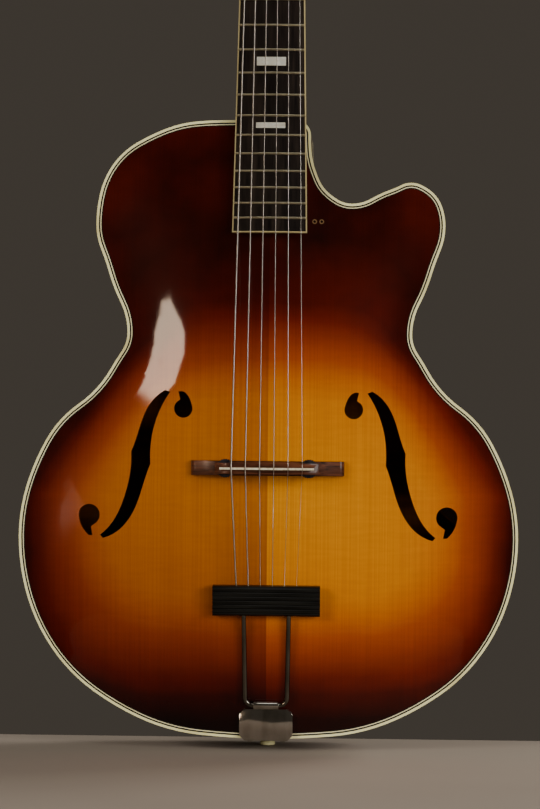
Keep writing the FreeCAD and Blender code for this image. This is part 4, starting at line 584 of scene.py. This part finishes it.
pearl = new_finish("pearl_block", coat=1.0)
pearl_swirl = mottle(pearl, per_metre=(90.0, 90.0, 210.0), detail=4.0, distortion=1.6)
tinted(pearl, pearl_swirl, [
    (0.30, (0.42, 0.38, 0.29)), (0.45, (0.62, 0.58, 0.47)), (0.58, (0.56, 0.56, 0.49)),
    (0.72, (0.70, 0.66, 0.56))])
roughened(pearl, pearl_swirl, low=0.18, high=0.34)
bumped(pearl, pearl_swirl, strength=0.03, distance=0.0002)
dress(pearl, "position_markers")

# Nut
# A bar of polished bone across the end of the fretboard, glued down, with a rounded groove filed
# for each string.
bone = new_finish("polished_bone")
bone_fleck = mottle(bone, per_metre=(500.0, 120.0, 500.0), detail=4.0)
tinted(bone, bone_fleck, [
    (0.3, (0.58, 0.49, 0.31)), (0.55, (0.74, 0.67, 0.48)), (0.8, (0.78, 0.73, 0.56))])
roughened(bone, bone_fleck, low=0.45, high=0.28)
bumped(bone, bone_fleck, strength=0.06, distance=0.0002)
eased("nut", "root", width=0.0003, finish=bone)

# Bridge
# A rosewood foot is carved to the top and held down only by the strings. Two threaded posts carry
# knurled wheels, and on these rests the saddle, with a strip of bone let into it.
rosewood = new_finish("oiled_rosewood", coat=0.22, coat_roughness=0.16, shine=0.15)
rose_grain = mottle(rosewood, per_metre=(14.0, 420.0, 420.0), detail=4.0)
rose_streak = mottle(rosewood, per_metre=(5.0, 120.0, 120.0), detail=2.0)
rose_colour = ramp(rosewood, rose_grain, [(0.30, (0.026, 0.0085, 0.0040)), (0.68, (0.140, 0.046, 0.020))])
coloured(rosewood, shaded(rosewood, rose_colour, rose_streak, [
    (0.35, (0.50, 0.42, 0.40)), (0.65, (1.15, 1.05, 1.0))], share=0.75))
roughened(rosewood, rose_grain, low=0.30, high=0.48)
bumped(rosewood, rose_grain, strength=0.10, distance=0.0003)
eased("bridge_base", "root", width=0.0006, finish=rosewood, segments=3,
      end_round=0.0040)
eased("bridge_saddle", "saddle", width=0.0006, finish=rosewood, segments=3)
dress(bone, "saddle_bone")
dress(plain_steel, "bridge_posts")

blued_metal = new_finish("blued_wheel_metal", metallic=0.85)
blued_cloud = mottle(blued_metal, per_metre=(240.0, 240.0, 240.0), detail=4.0)
tinted(blued_metal, blued_cloud, [(0.3, (0.022, 0.022, 0.030)), (0.7, (0.070, 0.070, 0.085))])
roughened(blued_metal, blued_cloud, low=0.26, high=0.46)
eased("bass_thumbwheel", "bass_wheel", width=0.00015, finish=blued_metal)
eased("treble_thumbwheel", "treble_wheel", width=0.00015, finish=blued_metal)

# Tailpiece
# A rod with nickel plate is bent to a trapeze and turns in the rolled knuckle of a plated
# bracket, screwed over the end of the body. A grooved black bar on it holds the strings' ball ends.
nickel = new_finish("polished_nickel", metallic=1.0)
nickel_smear = mottle(nickel, per_metre=(90.0, 90.0, 45.0), detail=5.0)
tinted(nickel, nickel_smear, [
    (0.3, (0.32, 0.295, 0.25)), (0.55, (0.50, 0.475, 0.43)), (0.8, (0.58, 0.56, 0.52))])
roughened(nickel, nickel_smear, low=0.12, high=0.05)
bumped(nickel, nickel_smear, strength=0.01, distance=0.0001)
dress(nickel, "bracket_screws")
eased("tailpiece_bracket", "root", width=0.0003, finish=nickel)

# Painted reflection: the rod's nickel is painted far darker than the bracket's, standing for the dark
# surroundings it mirrors.
rod_nickel_painted_dark = new_finish("rod_nickel_with_painted_reflection", metallic=1.0)
rod_smear = mottle(rod_nickel_painted_dark, per_metre=(90.0, 90.0, 45.0), detail=5.0)
tinted(rod_nickel_painted_dark, rod_smear, [(0.3, (0.10, 0.092, 0.075)), (0.7, (0.18, 0.167, 0.14))])
roughened(rod_nickel_painted_dark, rod_smear, low=0.13, high=0.06)
dress(rod_nickel_painted_dark, "tailpiece_rod")

bar_black = new_finish("grooved_bar_black", shine=0.14)
bar_cloud = mottle(bar_black, per_metre=(20.0, 300.0, 300.0), detail=4.0)
tinted(bar_black, bar_cloud, [(0.3, (0.0025, 0.0024, 0.0020)), (0.7, (0.010, 0.0095, 0.008))])
roughened(bar_black, bar_cloud, low=0.22, high=0.38)
bumped(bar_black, bar_cloud, strength=0.06, distance=0.0002)
eased("tailpiece_bar", "tailpiece", width=0.0003, finish=bar_black)

# End pin
# A turned cream plastic button that holds a strap. Its shank is pressed through the bracket and
# both rims into the tail block.
eased("end_pin", "root", width=0.0007, finish=cream_binding, segments=3)

# Tuners
# Three open geared machines on a plated strip for each side of the headstock. A cream button turns
# a worm, and the worm turns a brass gear at the foot of the string post.
button_cream = new_finish("cream_button", coat=0.4)
button_cloud = mottle(button_cream, per_metre=(60.0, 60.0, 60.0), distortion=0.8)
tinted(button_cream, button_cloud, [(0.3, (0.60, 0.50, 0.31)), (0.7, (0.76, 0.69, 0.50))])
roughened(button_cream, button_cloud, low=0.36, high=0.22)

gear_brass = new_finish("plated_gear_brass", metallic=1.0)
brass_cloud = mottle(gear_brass, per_metre=(200.0, 200.0, 200.0), detail=4.0)
tinted(gear_brass, brass_cloud, [(0.3, (0.42, 0.36, 0.24)), (0.7, (0.68, 0.62, 0.48))])
roughened(gear_brass, brass_cloud, low=0.36, high=0.20)
dress(nickel, "tuner_plates", "tuner_bushings", "small_screws")
string_numbers = (1, 2, 3, 4, 5, 6)
for number in string_numbers:
    dress(button_cream, "tuner_%d_button" % number)
    dress(nickel, "tuner_%d_worm" % number)
    dress(gear_brass, "tuner_%d_post" % number)

# Strings
# Two plain steel wires and four with a nickel winding. Each runs from its ball end in the bar over
# the saddle, along the board and over the nut, and is wound three times round its post.
plain_wire = new_finish("plain_string_steel", metallic=1.0)
wire_smear = mottle(plain_wire, per_metre=(60.0, 60.0, 60.0))
tinted(plain_wire, wire_smear, [(0.3, (0.46, 0.43, 0.39)), (0.7, (0.54, 0.51, 0.47))])
roughened(plain_wire, wire_smear, low=0.32, high=0.26)

wound_wire = new_finish("wound_string_nickel", roughness=0.30, metallic=1.0)
turns_per_metre = 1600.0
wave_units = 20.0
winding = shader_node(wound_wire, "TexWave", Vector=stretched(wound_wire, unstretched),
                      Scale=turns_per_metre * 2 * math.pi / wave_units)
winding.bands_direction = "Z"
# Painted shade: the winding is coloured darker in the grooves between its turns, while the same wave
# gives its relief.
tinted(wound_wire, winding.outputs["Fac"], [(0.1, (0.28, 0.25, 0.215)), (0.7, (0.55, 0.51, 0.46))])
bumped(wound_wire, winding.outputs["Fac"], strength=0.4, distance=0.0001)
wire_crease_angle = math.radians(40.0)


def string_stretch(source, name, finish, slot, low=None, high=None):
    """The stretch of a string between two heights, cut square and closed at each cut."""
    piece = copied(source, name, finish)
    bpy.ops.object.mode_set(mode="EDIT")
    for height in (low, high):
        if height is not None:
            bpy.ops.mesh.select_all(action="SELECT")
            bpy.ops.mesh.bisect(plane_co=(0.0, 0.0, height), plane_no=(0.0, 0.0, 1.0), use_fill=True,
                                clear_inner=height == low, clear_outer=height == high)
    bpy.ops.object.mode_set(mode="OBJECT")
    bpy.ops.object.shade_smooth_by_angle(angle=wire_crease_angle)
    return piece


def middle_of(node):
    """The middle of a node's box."""
    low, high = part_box(node)
    return (Vector(low) + Vector(high)) / 2


saddle_place = middle_of("saddle_bone")
bar_place = Vector((0.0, middle_of("tailpiece_bar").y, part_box("tailpiece_bar")[1][2]))
half_way = (saddle_place + bar_place) / 2
plain_strings = (1, 2)
for number in string_numbers:
    source = "string_%d" % number
    wire = (plain_wire, "plain_wire") if number in plain_strings else (wound_wire, "wound_wire")
    speaking = string_stretch(source, source + "_speaking", *wire, low=saddle_place.z)
    upper = string_stretch(source, source + "_after_upper", *wire, low=half_way.z, high=saddle_place.z)
    lower = string_stretch(source, source + "_after_lower", *wire, high=half_way.z)
    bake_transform(speaking)
    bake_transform(upper)
    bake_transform(lower)
    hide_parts(source)
